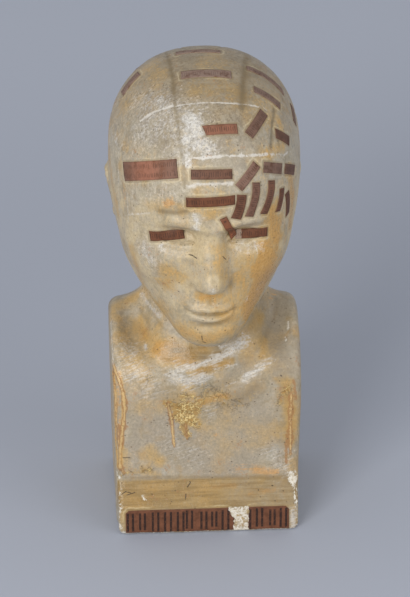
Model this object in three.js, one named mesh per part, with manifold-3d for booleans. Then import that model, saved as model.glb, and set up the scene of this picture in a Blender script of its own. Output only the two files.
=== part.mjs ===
// A phrenology head: a plaster bust cast in one with its block, and the paper labels glued to it.
// Millimetres, +Z up. The face looks towards -Y, the origin is at the middle of the underside.
import * as THREE from 'three';
import { mergeVertices } from 'three/addons/utils/BufferGeometryUtils.js';
import Module from 'manifold-3d';

const wasm = await Module();
wasm.setup();

// Block and plinth
const BLOCK_WIDTH = 100;          // at the underside
const BLOCK_SPREAD = 2;           // how far each side leans out, from there to the shoulder ridge
const BLOCK_BACK = 42;            // from the origin to the flat back
const CHEST_FRONT = 39;           // from the origin to the flat chest
const SHOULDER_HEIGHT = 125.5;    // top of the shoulder ridge, at its middle
const SHOULDER_DROP = 8;          // how much lower the ridge is at the sides
const SIDE_ROUND = 6;             // softness of the edges along the sides
const BACK_ROUND = 3;
const PLINTH_FRONT = 48;          // from the origin to the upright front
const PLINTH_HEIGHT = 17;         // height of the upright front
const SPLAY_HEIGHT = 12;          // of the slope from there up to the chest
const PLINTH_INSET = 0.5;         // how far the plinth stays inside the block's width
const PLINTH_CORNER = 2;          // radius of its upright corners

// Head and neck
const HEAD_HEIGHT = 140;          // chin to crown
const CHIN_HEIGHT = 126;          // underside to chin
const HEAD_NOD = 7;               // degrees, crown forward
const NECK_RADIUS = 29;
const NECK_BASE_RADIUS = 32;
const NECK_FLARE = 16;            // how softly the neck widens into the shoulders
const NECK_JOIN = 8;              // how softly it meets the head
const COLLAR_DROP = 41.5;         // foot of the neck in front, below the shoulder ridge
const COLLAR_WIDTH = 4.5;         // of the soft line round the foot of the neck
const COLLAR_DEPTH = 1.3;

// Labels
const PAPER = 0.35;               // thickness of a label with its glue
const GLUE_GAP = 0.45;            // clear space between plaster and paper
const PLATE_BOTTOM = 0.9;         // plate label above the underside
const PLATE_HEIGHT = 15;
const PLATE_LEFT = -45.7;         // left end of the plate label
const PLATE_TEAR = 13.7;          // where its left part is torn off
const PLATE_REST = 22;          // where its right part starts
const PLATE_RIGHT = 44.2;
const PLATE_CLIP = 1.6;           // corners cut off at its ends

// Fineness of the facets
const LIP_STEP = 3.3;
const FACE_STEP = 4.3;
const NECK_STEP = 6.2;
const BODY_STEP = 10;
const BLOCK_STEP = 18;
const LABEL_STEP = 5;
const PAPER_BRIDGE = 1.1;         // how far to each side a label clears what sticks up
const LABEL_REACH = 15;           // how far above the bust a label starts before it is laid on it
const CELL_MARGIN = 0.04;         // share of a cell that its vertex keeps clear of

const RIDGE_RADIUS = (BLOCK_BACK + CHEST_FRONT) / 2;
const RIDGE_Y = (BLOCK_BACK - CHEST_FRONT) / 2;
const RIDGE_CENTRE = SHOULDER_HEIGHT - RIDGE_RADIUS;
const HEAD_TOP = CHIN_HEIGHT + HEAD_HEIGHT;
const NOD_PIVOT = [0, 8, CHIN_HEIGHT + 0.1 * HEAD_HEIGHT];

// Soft joins and simple bodies, all as distances to their surface

function softMin(a, b, k) {
  const h = Math.max(k - Math.abs(a - b), 0) / k;
  return Math.min(a, b) - h * h * k / 4;
}

const softMax = (a, b, k) => -softMin(-a, -b, k);

const bell = (t, width) => Math.exp(-((t / width) ** 2));

// 1 up to a, 0 from b on
const fade = (t, a, b) => THREE.MathUtils.smoothstep((b - t) / (b - a), 0, 1);

function ellipsoid(p, c, r) {
  const v = [0, 1, 2].map((i) => (p[i] - c[i]) / r[i]);
  const near = Math.hypot(...v);
  const slope = Math.hypot(v[0] / r[0], v[1] / r[1], v[2] / r[2]);
  return near * (near - 1) / Math.max(slope, 1e-6);
}

// An ellipsoid with fuller corners, growing wider in x towards +y
function skullBody(p, c, r, power, taper) {
  const along = THREE.MathUtils.clamp((p[1] - c[1]) / r[1], -1, 1);
  const scale = [r[0] * (1 + taper * along), r[1], r[2]];
  const v = [0, 1, 2].map((i) => Math.abs(p[i] - c[i]) / scale[i] + 1e-5);
  const near = (v[0] ** power + v[1] ** power + v[2] ** power) ** (1 / power);
  const slope = Math.hypot(...v.map((t, i) => t ** (power - 1) / r[i])) * near ** (1 - power);
  return (near - 1) / slope;
}

// A rod from a to b with round ends, radius ra to rb
function rod(p, a, b, ra, rb) {
  const run = b.map((v, i) => v - a[i]);
  const reach = run.reduce((sum, v, i) => sum + v * (p[i] - a[i]), 0);
  const t = THREE.MathUtils.clamp(reach / run.reduce((sum, v) => sum + v * v, 0), 0, 1);
  return Math.hypot(...p.map((v, i) => v - a[i] - t * run[i])) - (ra + (rb - ra) * t);
}

// The head, in shares of its own height: chin at 0, crown at 1, the face towards -y

function skull(p, q) {
  const dome = skullBody(p, [0, 0, 0.604], [0.366, 0.445, 0.399], 2.25, 0.08);
  return softMin(dome, ellipsoid(q, [0.19, 0.04, 0.38], [0.135, 0.20, 0.26]), 0.12);
}

function cheeksAndJaw(d, p, q) {
  let e = softMin(d, ellipsoid(p, [0, -0.15, 0.345], [0.275, 0.262, 0.32]), 0.12);
  e = softMin(e, ellipsoid(q, [0.15, -0.235, 0.38], [0.10, 0.118, 0.10]), 0.12);
  e = softMin(e, rod(q, [0.165, 0.02, 0.235], [0.045, -0.315, 0.10], 0.105, 0.088), 0.12);
  e = softMin(e, ellipsoid(p, [0, -0.355, 0.078], [0.08, 0.08, 0.07]), 0.08);
  return softMin(e, ellipsoid(p, [0, -0.325, 0.205], [0.13, 0.112, 0.12]), 0.10);
}

function eyes(d, q) {
  const socket = ellipsoid(q, [0.118, -0.462, 0.51], [0.082, 0.078, 0.042]);
  const ball = ellipsoid(q, [0.12, -0.322, 0.493], [0.068, 0.066, 0.052]);
  return softMin(softMax(d, -socket, 0.07), ball, 0.024);
}

function nose(d, p, q) {
  let e = softMin(d, rod(p, [0, -0.395, 0.545], [0, -0.48, 0.355], 0.018, 0.024), 0.06);
  e = softMin(e, ellipsoid(p, [0, -0.4, 0.38], [0.056, 0.08, 0.11]), 0.05);
  e = softMin(e, ellipsoid(p, [0, -0.482, 0.344], [0.034, 0.036, 0.031]), 0.03);
  return softMin(e, ellipsoid(q, [0.038, -0.44, 0.331], [0.026, 0.038, 0.025]), 0.03);
}

// Height of brow, lips and the fold under them, over the front of the face
function browAndLips(side, y, z) {
  const arch = 0.566 + 0.018 * bell(side - 0.125, 0.07) - 0.1 * Math.max(side - 0.15, 0);
  const brow = 0.013 * bell(z - arch, 0.024) * fade(side, 0.15, 0.24);
  const lip = Math.max(1 - (side / 0.088) ** 2, 0) ** 0.8;
  const upper = 0.0155 * bell(z - 0.2155, 0.0155) * lip;
  const lower = 0.0185 * bell(z - 0.1755, 0.0165) * lip;
  const mouth = 0.011 * bell(z - 0.1955, 0.009) * fade(side, 0.06, 0.1);
  const fold = 0.012 * bell(z - 0.134, 0.022) * fade(side, 0.02, 0.1);
  return (brow + upper + lower - mouth - fold) * fade(y, -0.28, -0.2);
}

// Height of the ear over the side of the head: a leaning rim round a hollow
function ear(side, y, z) {
  const lean = 0.16;
  const u = Math.cos(lean) * (y - 0.07) - Math.sin(lean) * (z - 0.43);
  const v = Math.sin(lean) * (y - 0.07) + Math.cos(lean) * (z - 0.43);
  const wide = 0.056 * (1 + 1.5 * THREE.MathUtils.clamp(v, -0.12, 0.12));
  const r = Math.hypot(u / wide, v / 0.116);
  const rim = 0.007 * fade(r, 0.8, 1.12) + 0.008 * bell(r - 0.8, 0.17);
  const hollow = 0.014 * bell(Math.hypot((u + 0.012) / 0.026, (v + 0.016) / 0.045), 1);
  return (rim - hollow) * fade(-side, -0.26, -0.2);
}

function headShape(p) {
  const side = Math.hypot(p[0], 0.003);
  const q = [side, p[1], p[2]];
  let d = cheeksAndJaw(skull(p, q), p, q);
  d = nose(eyes(d, q), p, q);
  return d - browAndLips(side, p[1], p[2]) - ear(side, p[1], p[2]);
}

// Turn a point by the nod about the head's pivot; -1 undoes it
function nod(p, way) {
  const a = way * THREE.MathUtils.degToRad(HEAD_NOD);
  const y = p[1] - NOD_PIVOT[1];
  const z = p[2] - NOD_PIVOT[2];
  const turned = [Math.cos(a) * y + Math.sin(a) * z, Math.cos(a) * z - Math.sin(a) * y];
  return [p[0], turned[0] + NOD_PIVOT[1], turned[1] + NOD_PIVOT[2]];
}

function head(p) {
  const [x, y, z] = nod(p, 1);
  return headShape([x, y, z - CHIN_HEIGHT].map((v) => v / HEAD_HEIGHT)) * HEAD_HEIGHT;
}

// A point of the head given in shares of its height, in millimetres
const headPoint = (x, y, z) => (
  nod([x * HEAD_HEIGHT, y * HEAD_HEIGHT, z * HEAD_HEIGHT + CHIN_HEIGHT], -1)
);

// Neck, shoulders and the block under them

// How much the soft line round the foot of the neck, and the roll under it, change the chest
function neckFoot(side, y, z) {
  const reach = side / (0.84 * BLOCK_WIDTH / 2);
  const rise = 0.26 * SHOULDER_HEIGHT;
  const line = SHOULDER_HEIGHT - COLLAR_DROP + rise * reach ** 1.6;
  const steep = Math.hypot(1, 1.6 * rise / (0.84 * BLOCK_WIDTH / 2) * reach ** 0.6);
  const under = (z - line) / steep;
  const groove = COLLAR_DEPTH * bell(under, COLLAR_WIDTH) * fade(reach, 0.8, 1.1);
  const below = 2 * COLLAR_WIDTH / steep;
  const roll = 0.7 * COLLAR_DEPTH * bell(under + below, 1.1 * COLLAR_WIDTH) * fade(reach, 0.7, 1.05);
  return (roll - groove) * fade(y / CHEST_FRONT, -0.31, 0.1);
}

function neckAndShoulders(d, p, q) {
  const side = BLOCK_WIDTH / 2;
  const base = [0, 0.06 * side, RIDGE_CENTRE];
  const nape = [0, 0.18 * side, CHIN_HEIGHT + 0.28 * HEAD_HEIGHT];
  let e = softMin(d, rod(p, base, nape, NECK_BASE_RADIUS, NECK_RADIUS), NECK_FLARE);
  const collarbone = [0.08 * side, -0.795 * CHEST_FRONT, RIDGE_CENTRE + 0.04 * SHOULDER_HEIGHT];
  const behindEar = [1.03 * NECK_RADIUS, 0.2 * side, CHIN_HEIGHT + 0.21 * HEAD_HEIGHT];
  e = softMin(e, rod(q, collarbone, behindEar, 0.08 * side, 0.12 * side), 0.24 * side);
  const hollow = [0.78 * side, -0.513 * CHEST_FRONT, 0.98 * SHOULDER_HEIGHT];
  e = softMax(e, -ellipsoid(q, hollow, [0.16 * side, 0.34 * side, 0.36 * side]), 0.24 * side);
  return e - neckFoot(q[0], p[1], p[2]);
}

function block(p, q) {
  const level = 0.1 * BLOCK_WIDTH;
  const drop = SHOULDER_DROP * Math.max(q[0] - level, 0) / (BLOCK_WIDTH / 2 - level);
  const rise = Math.max(p[2] - RIDGE_CENTRE + drop, 0);
  return Math.hypot(p[1] - RIDGE_Y, rise) - RIDGE_RADIUS;
}

function bustShape(p) {
  const q = [Math.abs(p[0]), p[1], p[2]];
  let d = neckAndShoulders(block(p, q), p, q);
  const side = BLOCK_WIDTH / 2 + BLOCK_SPREAD * p[2] / SHOULDER_HEIGHT;
  d = softMax(d, q[0] - side, SIDE_ROUND);
  d = softMax(d, p[1] - BLOCK_BACK, BACK_ROUND);
  return softMin(d, head(p), NECK_JOIN);
}

// From a distance field to facets

function slopeOf(field, p) {
  const step = 0.05;
  return p.map((v, i) => {
    const more = p.with(i, v + step);
    const less = p.with(i, v - step);
    return (field(more) - field(less)) / (2 * step);
  });
}

// Move a point along the slope until it lies on the surface, without leaving its cell
function settle(field, p, low, high) {
  let here = p;
  for (let pass = 0; pass < 4; pass += 1) {
    const slope = slopeOf(field, here);
    const move = field(here) / Math.max(slope.reduce((sum, v) => sum + v * v, 0), 0.25);
    here = here.map((v, i) => THREE.MathUtils.clamp(
      v - slope[i] * move,
      THREE.MathUtils.lerp(low[i], high[i], CELL_MARGIN),
      THREE.MathUtils.lerp(high[i], low[i], CELL_MARGIN),
    ));
  }
  return here;
}

// Coordinates from low to past high, each a step of its own size after the last
function stations(low, high, stepAt) {
  const list = [low];
  while (list.at(-1) < high) list.push(list.at(-1) + stepAt(list.at(-1)));
  return list;
}

// One vertex for each grid cell that the surface crosses, one quad for each grid edge
function surfaceNet(field, grid) {
  const [nx, ny, nz] = grid.map((axis) => axis.length);
  const at = (i, j, k) => (k * ny + j) * nx + i;
  const value = new Float64Array(nx * ny * nz);
  grid[2].forEach((z, k) => grid[1].forEach((y, j) => grid[0].forEach((x, i) => {
    value[at(i, j, k)] = field([x, y, z]);
  })));
  const vertices = [];
  const vertexOf = new Map();
  for (let k = 0; k < nz - 1; k += 1) {
    for (let j = 0; j < ny - 1; j += 1) {
      for (let i = 0; i < nx - 1; i += 1) {
        const middle = crossingMiddle(grid, value, at, [i, j, k]);
        if (!middle) continue;
        const low = [grid[0][i], grid[1][j], grid[2][k]];
        const high = [grid[0][i + 1], grid[1][j + 1], grid[2][k + 1]];
        vertexOf.set(at(i, j, k), vertices.length);
        vertices.push(settle(field, middle, low, high));
      }
    }
  }
  return { vertices, quads: netQuads(value, at, vertexOf, [nx, ny, nz]) };
}

// The middle of the places where the surface crosses the edges of one cell
function crossingMiddle(grid, value, at, cell) {
  const found = [];
  for (let axis = 0; axis < 3; axis += 1) {
    for (let corner = 0; corner < 8; corner += 1) {
      if (corner & (1 << axis)) continue;
      const a = cell.map((v, i) => v + ((corner >> i) & 1));
      const b = a.with(axis, a[axis] + 1);
      const va = value[at(...a)];
      const vb = value[at(...b)];
      if ((va < 0) === (vb < 0)) continue;
      const t = va / (va - vb);
      found.push(a.map((v, i) => grid[i][v] + t * (grid[i][b[i]] - grid[i][v])));
    }
  }
  if (found.length === 0) return null;
  return [0, 1, 2].map((i) => found.reduce((sum, p) => sum + p[i], 0) / found.length);
}

function netQuads(value, at, vertexOf, size) {
  const quads = [];
  for (let axis = 0; axis < 3; axis += 1) {
    const u = (axis + 1) % 3;
    const v = (axis + 2) % 3;
    for (let k = 1; k < size[2] - 1; k += 1) {
      for (let j = 1; j < size[1] - 1; j += 1) {
        for (let i = 1; i < size[0] - 1; i += 1) {
          const a = [i, j, k];
          const inside = value[at(...a)] < 0;
          if (inside === value[at(...a.with(axis, a[axis] + 1))] < 0) continue;
          const around = [[-1, -1], [0, -1], [0, 0], [-1, 0]].map(([du, dv]) => {
            const cell = a.with(u, a[u] + du);
            return vertexOf.get(at(...cell.with(v, cell[v] + dv)));
          });
          quads.push(inside ? around : around.reverse());
        }
      }
    }
  }
  return quads;
}

// Two triangles for each quad, split along its shorter diagonal
function quadsToGeometry(vertices, quads) {
  const far = (a, b) => Math.hypot(...vertices[a].map((v, i) => v - vertices[b][i]));
  const index = quads.flatMap(([a, b, c, d]) => (
    far(a, c) < far(b, d) ? [a, b, c, a, c, d] : [a, b, d, b, c, d]
  ));
  const geometry = new THREE.BufferGeometry();
  geometry.setAttribute('position', new THREE.Float32BufferAttribute(vertices.flat(), 3));
  geometry.setIndex(index);
  return geometry;
}

function toManifold(geometry) {
  const bare = geometry.clone();
  bare.deleteAttribute('normal');
  bare.deleteAttribute('uv');
  const merged = mergeVertices(bare, 1e-4);
  const vertProperties = new Float32Array(merged.attributes.position.array);
  const triVerts = new Uint32Array(merged.index.array);
  return new wasm.Manifold(new wasm.Mesh({ numProp: 3, vertProperties, triVerts }));
}

function toGeometry(solid) {
  const mesh = solid.getMesh();
  const geometry = new THREE.BufferGeometry();
  geometry.setAttribute('position', new THREE.Float32BufferAttribute(mesh.vertProperties, 3));
  geometry.setIndex(Array.from(mesh.triVerts));
  geometry.computeVertexNormals();
  return geometry;
}

// The bust

// The step of the first band that reaches past a coordinate
const stepIn = (bands) => (v) => bands.find(([end]) => v < end)[1];

function bustGrid() {
  const side = BLOCK_WIDTH / 2;
  const half = stations(0, side + 2 * BODY_STEP, stepIn([
    [0.1 * HEAD_HEIGHT, LIP_STEP],
    [0.22 * HEAD_HEIGHT, FACE_STEP],
    [Infinity, NECK_STEP],
  ]));
  const ys = stations(-0.6 * HEAD_HEIGHT, 0.65 * HEAD_HEIGHT, stepIn([
    [-0.2 * HEAD_HEIGHT, FACE_STEP],
    [0, BODY_STEP],
    [0.14 * HEAD_HEIGHT, FACE_STEP],
    [Infinity, BODY_STEP],
  ]));
  const zs = stations(-2.5 * BLOCK_STEP, HEAD_TOP + BODY_STEP, stepIn([
    [0.6 * SHOULDER_HEIGHT, BLOCK_STEP],
    [CHIN_HEIGHT - 0.06 * HEAD_HEIGHT, NECK_STEP],
    [CHIN_HEIGHT + 0.12 * HEAD_HEIGHT, FACE_STEP],
    [CHIN_HEIGHT + 0.36 * HEAD_HEIGHT, LIP_STEP],
    [CHIN_HEIGHT + 0.6 * HEAD_HEIGHT, FACE_STEP],
    [Infinity, BODY_STEP],
  ]));
  return [[...half.slice(1).reverse().map((x) => -x), ...half], ys, zs];
}

// The upright front and the splay that leads up from it to the chest, as one wedge
function plinthGeometry() {
  const inside = -0.5 * CHEST_FRONT;
  const profile = new THREE.Shape();
  profile.moveTo(inside, 0);
  profile.lineTo(-PLINTH_FRONT, 0);
  profile.lineTo(-PLINTH_FRONT, PLINTH_HEIGHT);
  profile.lineTo(-CHEST_FRONT, PLINTH_HEIGHT + SPLAY_HEIGHT);
  profile.lineTo(inside, PLINTH_HEIGHT + SPLAY_HEIGHT);
  const width = BLOCK_WIDTH - 2 * PLINTH_INSET;
  const wedge = new THREE.ExtrudeGeometry(profile, { depth: width, bevelEnabled: false });
  wedge.applyMatrix4(new THREE.Matrix4().makeBasis(
    new THREE.Vector3(0, 1, 0),
    new THREE.Vector3(0, 0, 1),
    new THREE.Vector3(1, 0, 0),
  ));
  wedge.translate(-width / 2, 0, 0);
  return wedge;
}

// The plinth's plan with round front corners, as a tall prism
function plinthPlan() {
  const side = BLOCK_WIDTH / 2 - PLINTH_INSET;
  const plan = new THREE.Shape();
  plan.moveTo(-side, BLOCK_BACK);
  plan.lineTo(-side, PLINTH_CORNER - PLINTH_FRONT);
  plan.quadraticCurveTo(-side, -PLINTH_FRONT, PLINTH_CORNER - side, -PLINTH_FRONT);
  plan.lineTo(side - PLINTH_CORNER, -PLINTH_FRONT);
  plan.quadraticCurveTo(side, -PLINTH_FRONT, side, PLINTH_CORNER - PLINTH_FRONT);
  plan.lineTo(side, BLOCK_BACK);
  const settings = { depth: SHOULDER_HEIGHT, bevelEnabled: false, curveSegments: 4 };
  return new THREE.ExtrudeGeometry(plan, settings);
}

function bustGeometry() {
  const withFoot = (p) => Math.max(bustShape(p), -BLOCK_STEP - p[2]);
  const { vertices, quads } = surfaceNet(withFoot, bustGrid());
  const floorBox = new THREE.BoxGeometry(4 * BLOCK_WIDTH, 4 * BLOCK_WIDTH, 2 * HEAD_TOP);
  floorBox.translate(0, 0, HEAD_TOP);
  const body = toManifold(quadsToGeometry(vertices, quads)).intersect(toManifold(floorBox));
  const plinth = toManifold(plinthGeometry()).intersect(toManifold(plinthPlan()));
  return toGeometry(body.add(plinth));
}

// Labels

const rad = THREE.MathUtils.degToRad;

// Where a line from the middle of the head comes out of it
function skullPoint(azimuth, elevation) {
  const level = Math.cos(rad(elevation));
  const way = [
    level * Math.sin(rad(azimuth)),
    -level * Math.cos(rad(azimuth)),
    Math.sin(rad(elevation)),
  ];
  let low = 0;
  let high = 1;
  for (let pass = 0; pass < 30; pass += 1) {
    const middle = (low + high) / 2;
    const inside = headShape([way[0] * middle, way[1] * middle, 0.5 + way[2] * middle]) < 0;
    if (inside) low = middle;
    else high = middle;
  }
  return headPoint(way[0] * low, way[1] * low, 0.5 + way[2] * low);
}

// Point, outward normal, long direction and cross direction of a label
function labelFrame({ azimuth, elevation, turn }) {
  const point = skullPoint(azimuth, elevation);
  const normal = new THREE.Vector3(...slopeOf(bustShape, point)).normalize();
  const level = new THREE.Vector3(Math.cos(rad(azimuth)), Math.sin(rad(azimuth)), 0);
  const long = level.projectOnPlane(normal).normalize().applyAxisAngle(normal, rad(turn));
  return { point: new THREE.Vector3(...point), normal, long, cross: normal.clone().cross(long) };
}

// A strip of paper that follows the facets of the bust, a little above them
function labelGeometry(label, bust) {
  const { point, normal, long, cross } = labelFrame(label);
  const along = Math.ceil(label.length / Math.min(LABEL_STEP, label.width));
  const across = label.width > LABEL_STEP ? 2 : 1;
  const under = [];
  for (let j = 0; j <= across; j += 1) {
    for (let i = 0; i <= along; i += 1) {
      const flat = point.clone()
        .addScaledVector(long, label.length * (i / along - 0.5))
        .addScaledVector(cross, label.width * (j / across - 0.5));
      under.push(flat.addScaledVector(normal, GLUE_GAP + highestBelow(flat, normal, long, cross, bust)));
    }
  }
  const over = under.map((v) => v.clone().addScaledVector(normal, PAPER));
  return stripGeometry([...under, ...over].map((v) => v.toArray()), along, across);
}

// Height of the bust's highest facet near a point: stiff paper bridges what is lower
function highestBelow(point, normal, long, cross, bust) {
  const heights = [];
  for (const a of [-1, 0, 1]) {
    for (const b of [-1, 0, 1]) {
      const from = point.clone()
        .addScaledVector(long, a * PAPER_BRIDGE)
        .addScaledVector(cross, b * PAPER_BRIDGE)
        .addScaledVector(normal, LABEL_REACH);
      const ray = new THREE.Raycaster(from, normal.clone().negate());
      heights.push(LABEL_REACH - ray.intersectObject(bust)[0].distance);
    }
  }
  return Math.max(...heights);
}

// Closes two grids of vertices, lower and upper, into one solid
function stripGeometry(vertices, along, across) {
  const row = along + 1;
  const layer = row * (across + 1);
  const quads = [];
  for (let j = 0; j < across; j += 1) {
    for (let i = 0; i < along; i += 1) {
      const a = j * row + i;
      quads.push([a, a + row, a + row + 1, a + 1]);
      quads.push([a + layer, a + layer + 1, a + layer + row + 1, a + layer + row]);
    }
  }
  const wall = (a, b) => quads.push([a, b, b + layer, a + layer]);
  for (let i = 0; i < along; i += 1) {
    wall(i, i + 1);
    wall(across * row + i + 1, across * row + i);
  }
  for (let j = 0; j < across; j += 1) {
    wall((j + 1) * row, j * row);
    wall(j * row + along, (j + 1) * row + along);
  }
  return quadsToGeometry(vertices, quads);
}

// One part of the plate label, from an outline in x and z
function plateGeometry(outline) {
  const shape = new THREE.Shape(outline.map(([x, z]) => new THREE.Vector2(x, z)));
  const plate = new THREE.ExtrudeGeometry(shape, { depth: PAPER, bevelEnabled: false });
  plate.rotateX(Math.PI / 2);
  plate.translate(0, -PLINTH_FRONT - GLUE_GAP, 0);
  return plate;
}

function plateOutlines() {
  const low = PLATE_BOTTOM;
  const high = PLATE_BOTTOM + PLATE_HEIGHT;
  const left = [
    [PLATE_LEFT, low],
    [PLATE_TEAR, low],
    [PLATE_TEAR, low + 0.7 * PLATE_HEIGHT],
    [PLATE_TEAR - 2 * PLATE_CLIP, high],
    [PLATE_LEFT + PLATE_CLIP, high],
    [PLATE_LEFT, high - PLATE_CLIP],
  ];
  const right = [
    [PLATE_REST, low],
    [PLATE_RIGHT, low],
    [PLATE_RIGHT, high - PLATE_CLIP],
    [PLATE_RIGHT - PLATE_CLIP, high],
    [PLATE_REST, high],
  ];
  return { plate_label_left: left, plate_label_right: right };
}

// Each label: degrees round the head from the face towards its left, degrees up, turn of its
// long side, then length and width
const HEAD_LABELS = {
  crown_back: [-172, 74.5, -12, 23.5, 5],
  crown_front: [0, 84, -1, 26, 6.5],
  right_crown: [-109, 52.5, -66, 14, 8],
  left_crown_long: [97, 61, -91, 25, 4.6],
  left_crown_short: [66.5, 59.5, -64, 18, 4.4],
  forehead_slant: [35, 52.5, 30, 18.5, 5.3],
  forehead_top: [7, 53, -1, 17.5, 5.4],
  left_forehead: [53, 42, -37, 13.5, 5],
  left_side: [88, 41, 27, 12, 5],
  right_forehead_wide: [-37, 32, 17, 38, 9.8],
  forehead_middle: [0, 34.5, -1, 21, 5],
  forehead_low: [-0.9, 22.5, 2, 24.4, 5.2],
  brow_slant: [19, 32, 42, 15.5, 5.2],
  brow_upper: [36, 32, -17, 14.5, 4.9],
  brow_outer: [52.3, 26, -25, 14, 5.2],
  brow_1: [13, 19, 77, 13.4, 5.2],
  brow_2: [20.5, 21, 76, 18.5, 4.6],
  brow_3: [30, 19.5, 71, 18, 4.8],
  brow_4: [39.5, 14.5, 77, 12.5, 4.3],
  brow_5: [47.5, 8.5, 98, 14, 4],
  nose_side: [9, 6.5, -74, 15.5, 3.5],
  left_eye: [21.5, 1, -3, 17, 4.9],
  right_eye: [-23, 1, 9, 18, 5.4],
  left_temple_back: [112, 20, 10, 20, 5.2],
  left_back_high: [146, 42, -8, 24, 5.2],
  back_left: [158, 12, 0, 26, 5.2],
  back_middle: [180, 38, 0, 22, 5.2],
  back_right: [-150, 16, 4, 24, 5.2],
  right_back_high: [-146, 42, 8, 22, 5.2],
  right_temple_back: [-124, 21, -12, 22, 5.2],
  nape: [180, -16, 0, 18, 5.2],
};

const plaster = new THREE.MeshStandardMaterial({ color: 0xb4a382, roughness: 0.6, metalness: 0 });
const paper = new THREE.MeshStandardMaterial({ color: 0x7d5240, roughness: 0.7, metalness: 0 });

function addMesh(group, name, geometry, material) {
  const mesh = new THREE.Mesh(geometry, material);
  mesh.name = name;
  group.add(mesh);
  return mesh;
}

function phrenologyHead() {
  const group = new THREE.Group();
  const bust = addMesh(group, 'bust', bustGeometry(), plaster);
  for (const [name, [azimuth, elevation, turn, length, width]] of Object.entries(HEAD_LABELS)) {
    const label = { azimuth, elevation, turn, length, width };
    addMesh(group, `label_${name}`, labelGeometry(label, bust), paper);
  }
  for (const [name, outline] of Object.entries(plateOutlines())) {
    addMesh(group, name, plateGeometry(outline), paper);
  }
  return group;
}

export default phrenologyHead();
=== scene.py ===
"""A phrenology head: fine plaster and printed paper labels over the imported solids."""
import functools
import math
import types

import bpy
import numpy as np
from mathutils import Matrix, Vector


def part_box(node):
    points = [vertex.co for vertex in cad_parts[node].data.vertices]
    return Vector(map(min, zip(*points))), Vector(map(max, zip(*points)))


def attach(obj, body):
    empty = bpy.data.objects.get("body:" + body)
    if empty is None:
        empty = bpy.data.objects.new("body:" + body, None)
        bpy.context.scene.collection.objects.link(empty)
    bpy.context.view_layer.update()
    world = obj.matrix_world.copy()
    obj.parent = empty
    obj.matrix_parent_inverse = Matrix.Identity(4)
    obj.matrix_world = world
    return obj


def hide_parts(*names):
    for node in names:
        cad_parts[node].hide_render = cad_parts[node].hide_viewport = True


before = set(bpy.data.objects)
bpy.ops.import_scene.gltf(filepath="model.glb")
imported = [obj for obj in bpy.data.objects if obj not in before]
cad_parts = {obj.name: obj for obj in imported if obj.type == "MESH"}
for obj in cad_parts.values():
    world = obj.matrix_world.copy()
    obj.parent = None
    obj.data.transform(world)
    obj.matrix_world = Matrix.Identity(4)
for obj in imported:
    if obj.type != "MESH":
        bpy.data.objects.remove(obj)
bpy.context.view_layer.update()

MM = 0.001

# The photograph's frame and camera
PICTURE_WIDTH = 410
PICTURE_HEIGHT = 597
FOCAL_PIXELS = 2928.0
MIDDLE_PIXEL = (203.5, 291.5)
CAMERA_AZIMUTH = math.radians(-3.5)
CAMERA_ELEVATION = math.radians(27.0)
CAMERA_DISTANCE = 1600.0
CAMERA_AIM = np.array([0.0, 0.0, 125.0])

# Sizes of the solids, in millimetres
BLOCK_WIDTH = 100.0
BLOCK_SPREAD = 2.0
BLOCK_BACK = 42.0
CHEST_FRONT = 39.0
SHOULDER_HEIGHT = 125.5
SHOULDER_DROP = 8.0
SIDE_ROUND = 6.0
BACK_ROUND = 3.0
PLINTH_FRONT = 48.0
PLINTH_HEIGHT = 17.0
SPLAY_HEIGHT = 12.0
PLINTH_INSET = 0.5
HEAD_HEIGHT = 140.0
CHIN_HEIGHT = 126.0
HEAD_NOD = math.radians(7.0)
NECK_RADIUS = 29.0
NECK_BASE_RADIUS = 32.0
NECK_FLARE = 16.0
NECK_JOIN = 8.0
COLLAR_DROP = 41.5
COLLAR_WIDTH = 4.5
COLLAR_DEPTH = 1.3
RIDGE_RADIUS = (BLOCK_BACK + CHEST_FRONT) / 2
RIDGE_Y = (BLOCK_BACK - CHEST_FRONT) / 2
RIDGE_CENTRE = SHOULDER_HEIGHT - RIDGE_RADIUS
NOD_PIVOT_Y = 8.0
NOD_PIVOT_Z = CHIN_HEIGHT + 0.1 * HEAD_HEIGHT
WORN_EDGE = 1.2                   # softness of the plinth's edges
WORN_CORNER = 4.5                 # softness of its lowest corners


# Soft joins and simple bodies, all as distances to their surface

def soft_min(a, b, k):
    h = np.maximum(k - np.abs(a - b), 0) / k
    return np.minimum(a, b) - h * h * k / 4


def soft_max(a, b, k):
    return -soft_min(-a, -b, k)


def bell(t, width):
    return np.exp(-((t / width) ** 2))


def fade(t, a, b):
    """1 up to a, 0 from b on."""
    u = np.clip((b - t) / (b - a), 0, 1)
    return u * u * (3 - 2 * u)


def ellipsoid(p, centre, radii):
    v = [(p[i] - centre[i]) / radii[i] for i in range(3)]
    near = np.sqrt(v[0] ** 2 + v[1] ** 2 + v[2] ** 2)
    slope = np.sqrt(sum((v[i] / radii[i]) ** 2 for i in range(3)))
    return near * (near - 1) / np.maximum(slope, 1e-6)


def skull_body(p, centre, radii, power, taper):
    """An ellipsoid with fuller corners, growing wider in x towards +y."""
    along = np.clip((p[1] - centre[1]) / radii[1], -1, 1)
    scale = (radii[0] * (1 + taper * along), radii[1], radii[2])
    v = [np.abs(p[i] - centre[i]) / scale[i] + 1e-5 for i in range(3)]
    near = (v[0] ** power + v[1] ** power + v[2] ** power) ** (1 / power)
    slope = np.sqrt(sum((v[i] ** (power - 1) / radii[i]) ** 2 for i in range(3)))
    return (near - 1) / (slope * near ** (1 - power))


def rod(p, a, b, radius_a, radius_b):
    run = [b[i] - a[i] for i in range(3)]
    reach = sum((p[i] - a[i]) * run[i] for i in range(3)) / sum(v * v for v in run)
    t = np.clip(reach, 0, 1)
    gap = np.sqrt(sum((p[i] - a[i] - t * run[i]) ** 2 for i in range(3)))
    return gap - (radius_a + (radius_b - radius_a) * t)


# The head, in shares of its own height: chin at 0, crown at 1, the face towards -y

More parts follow.
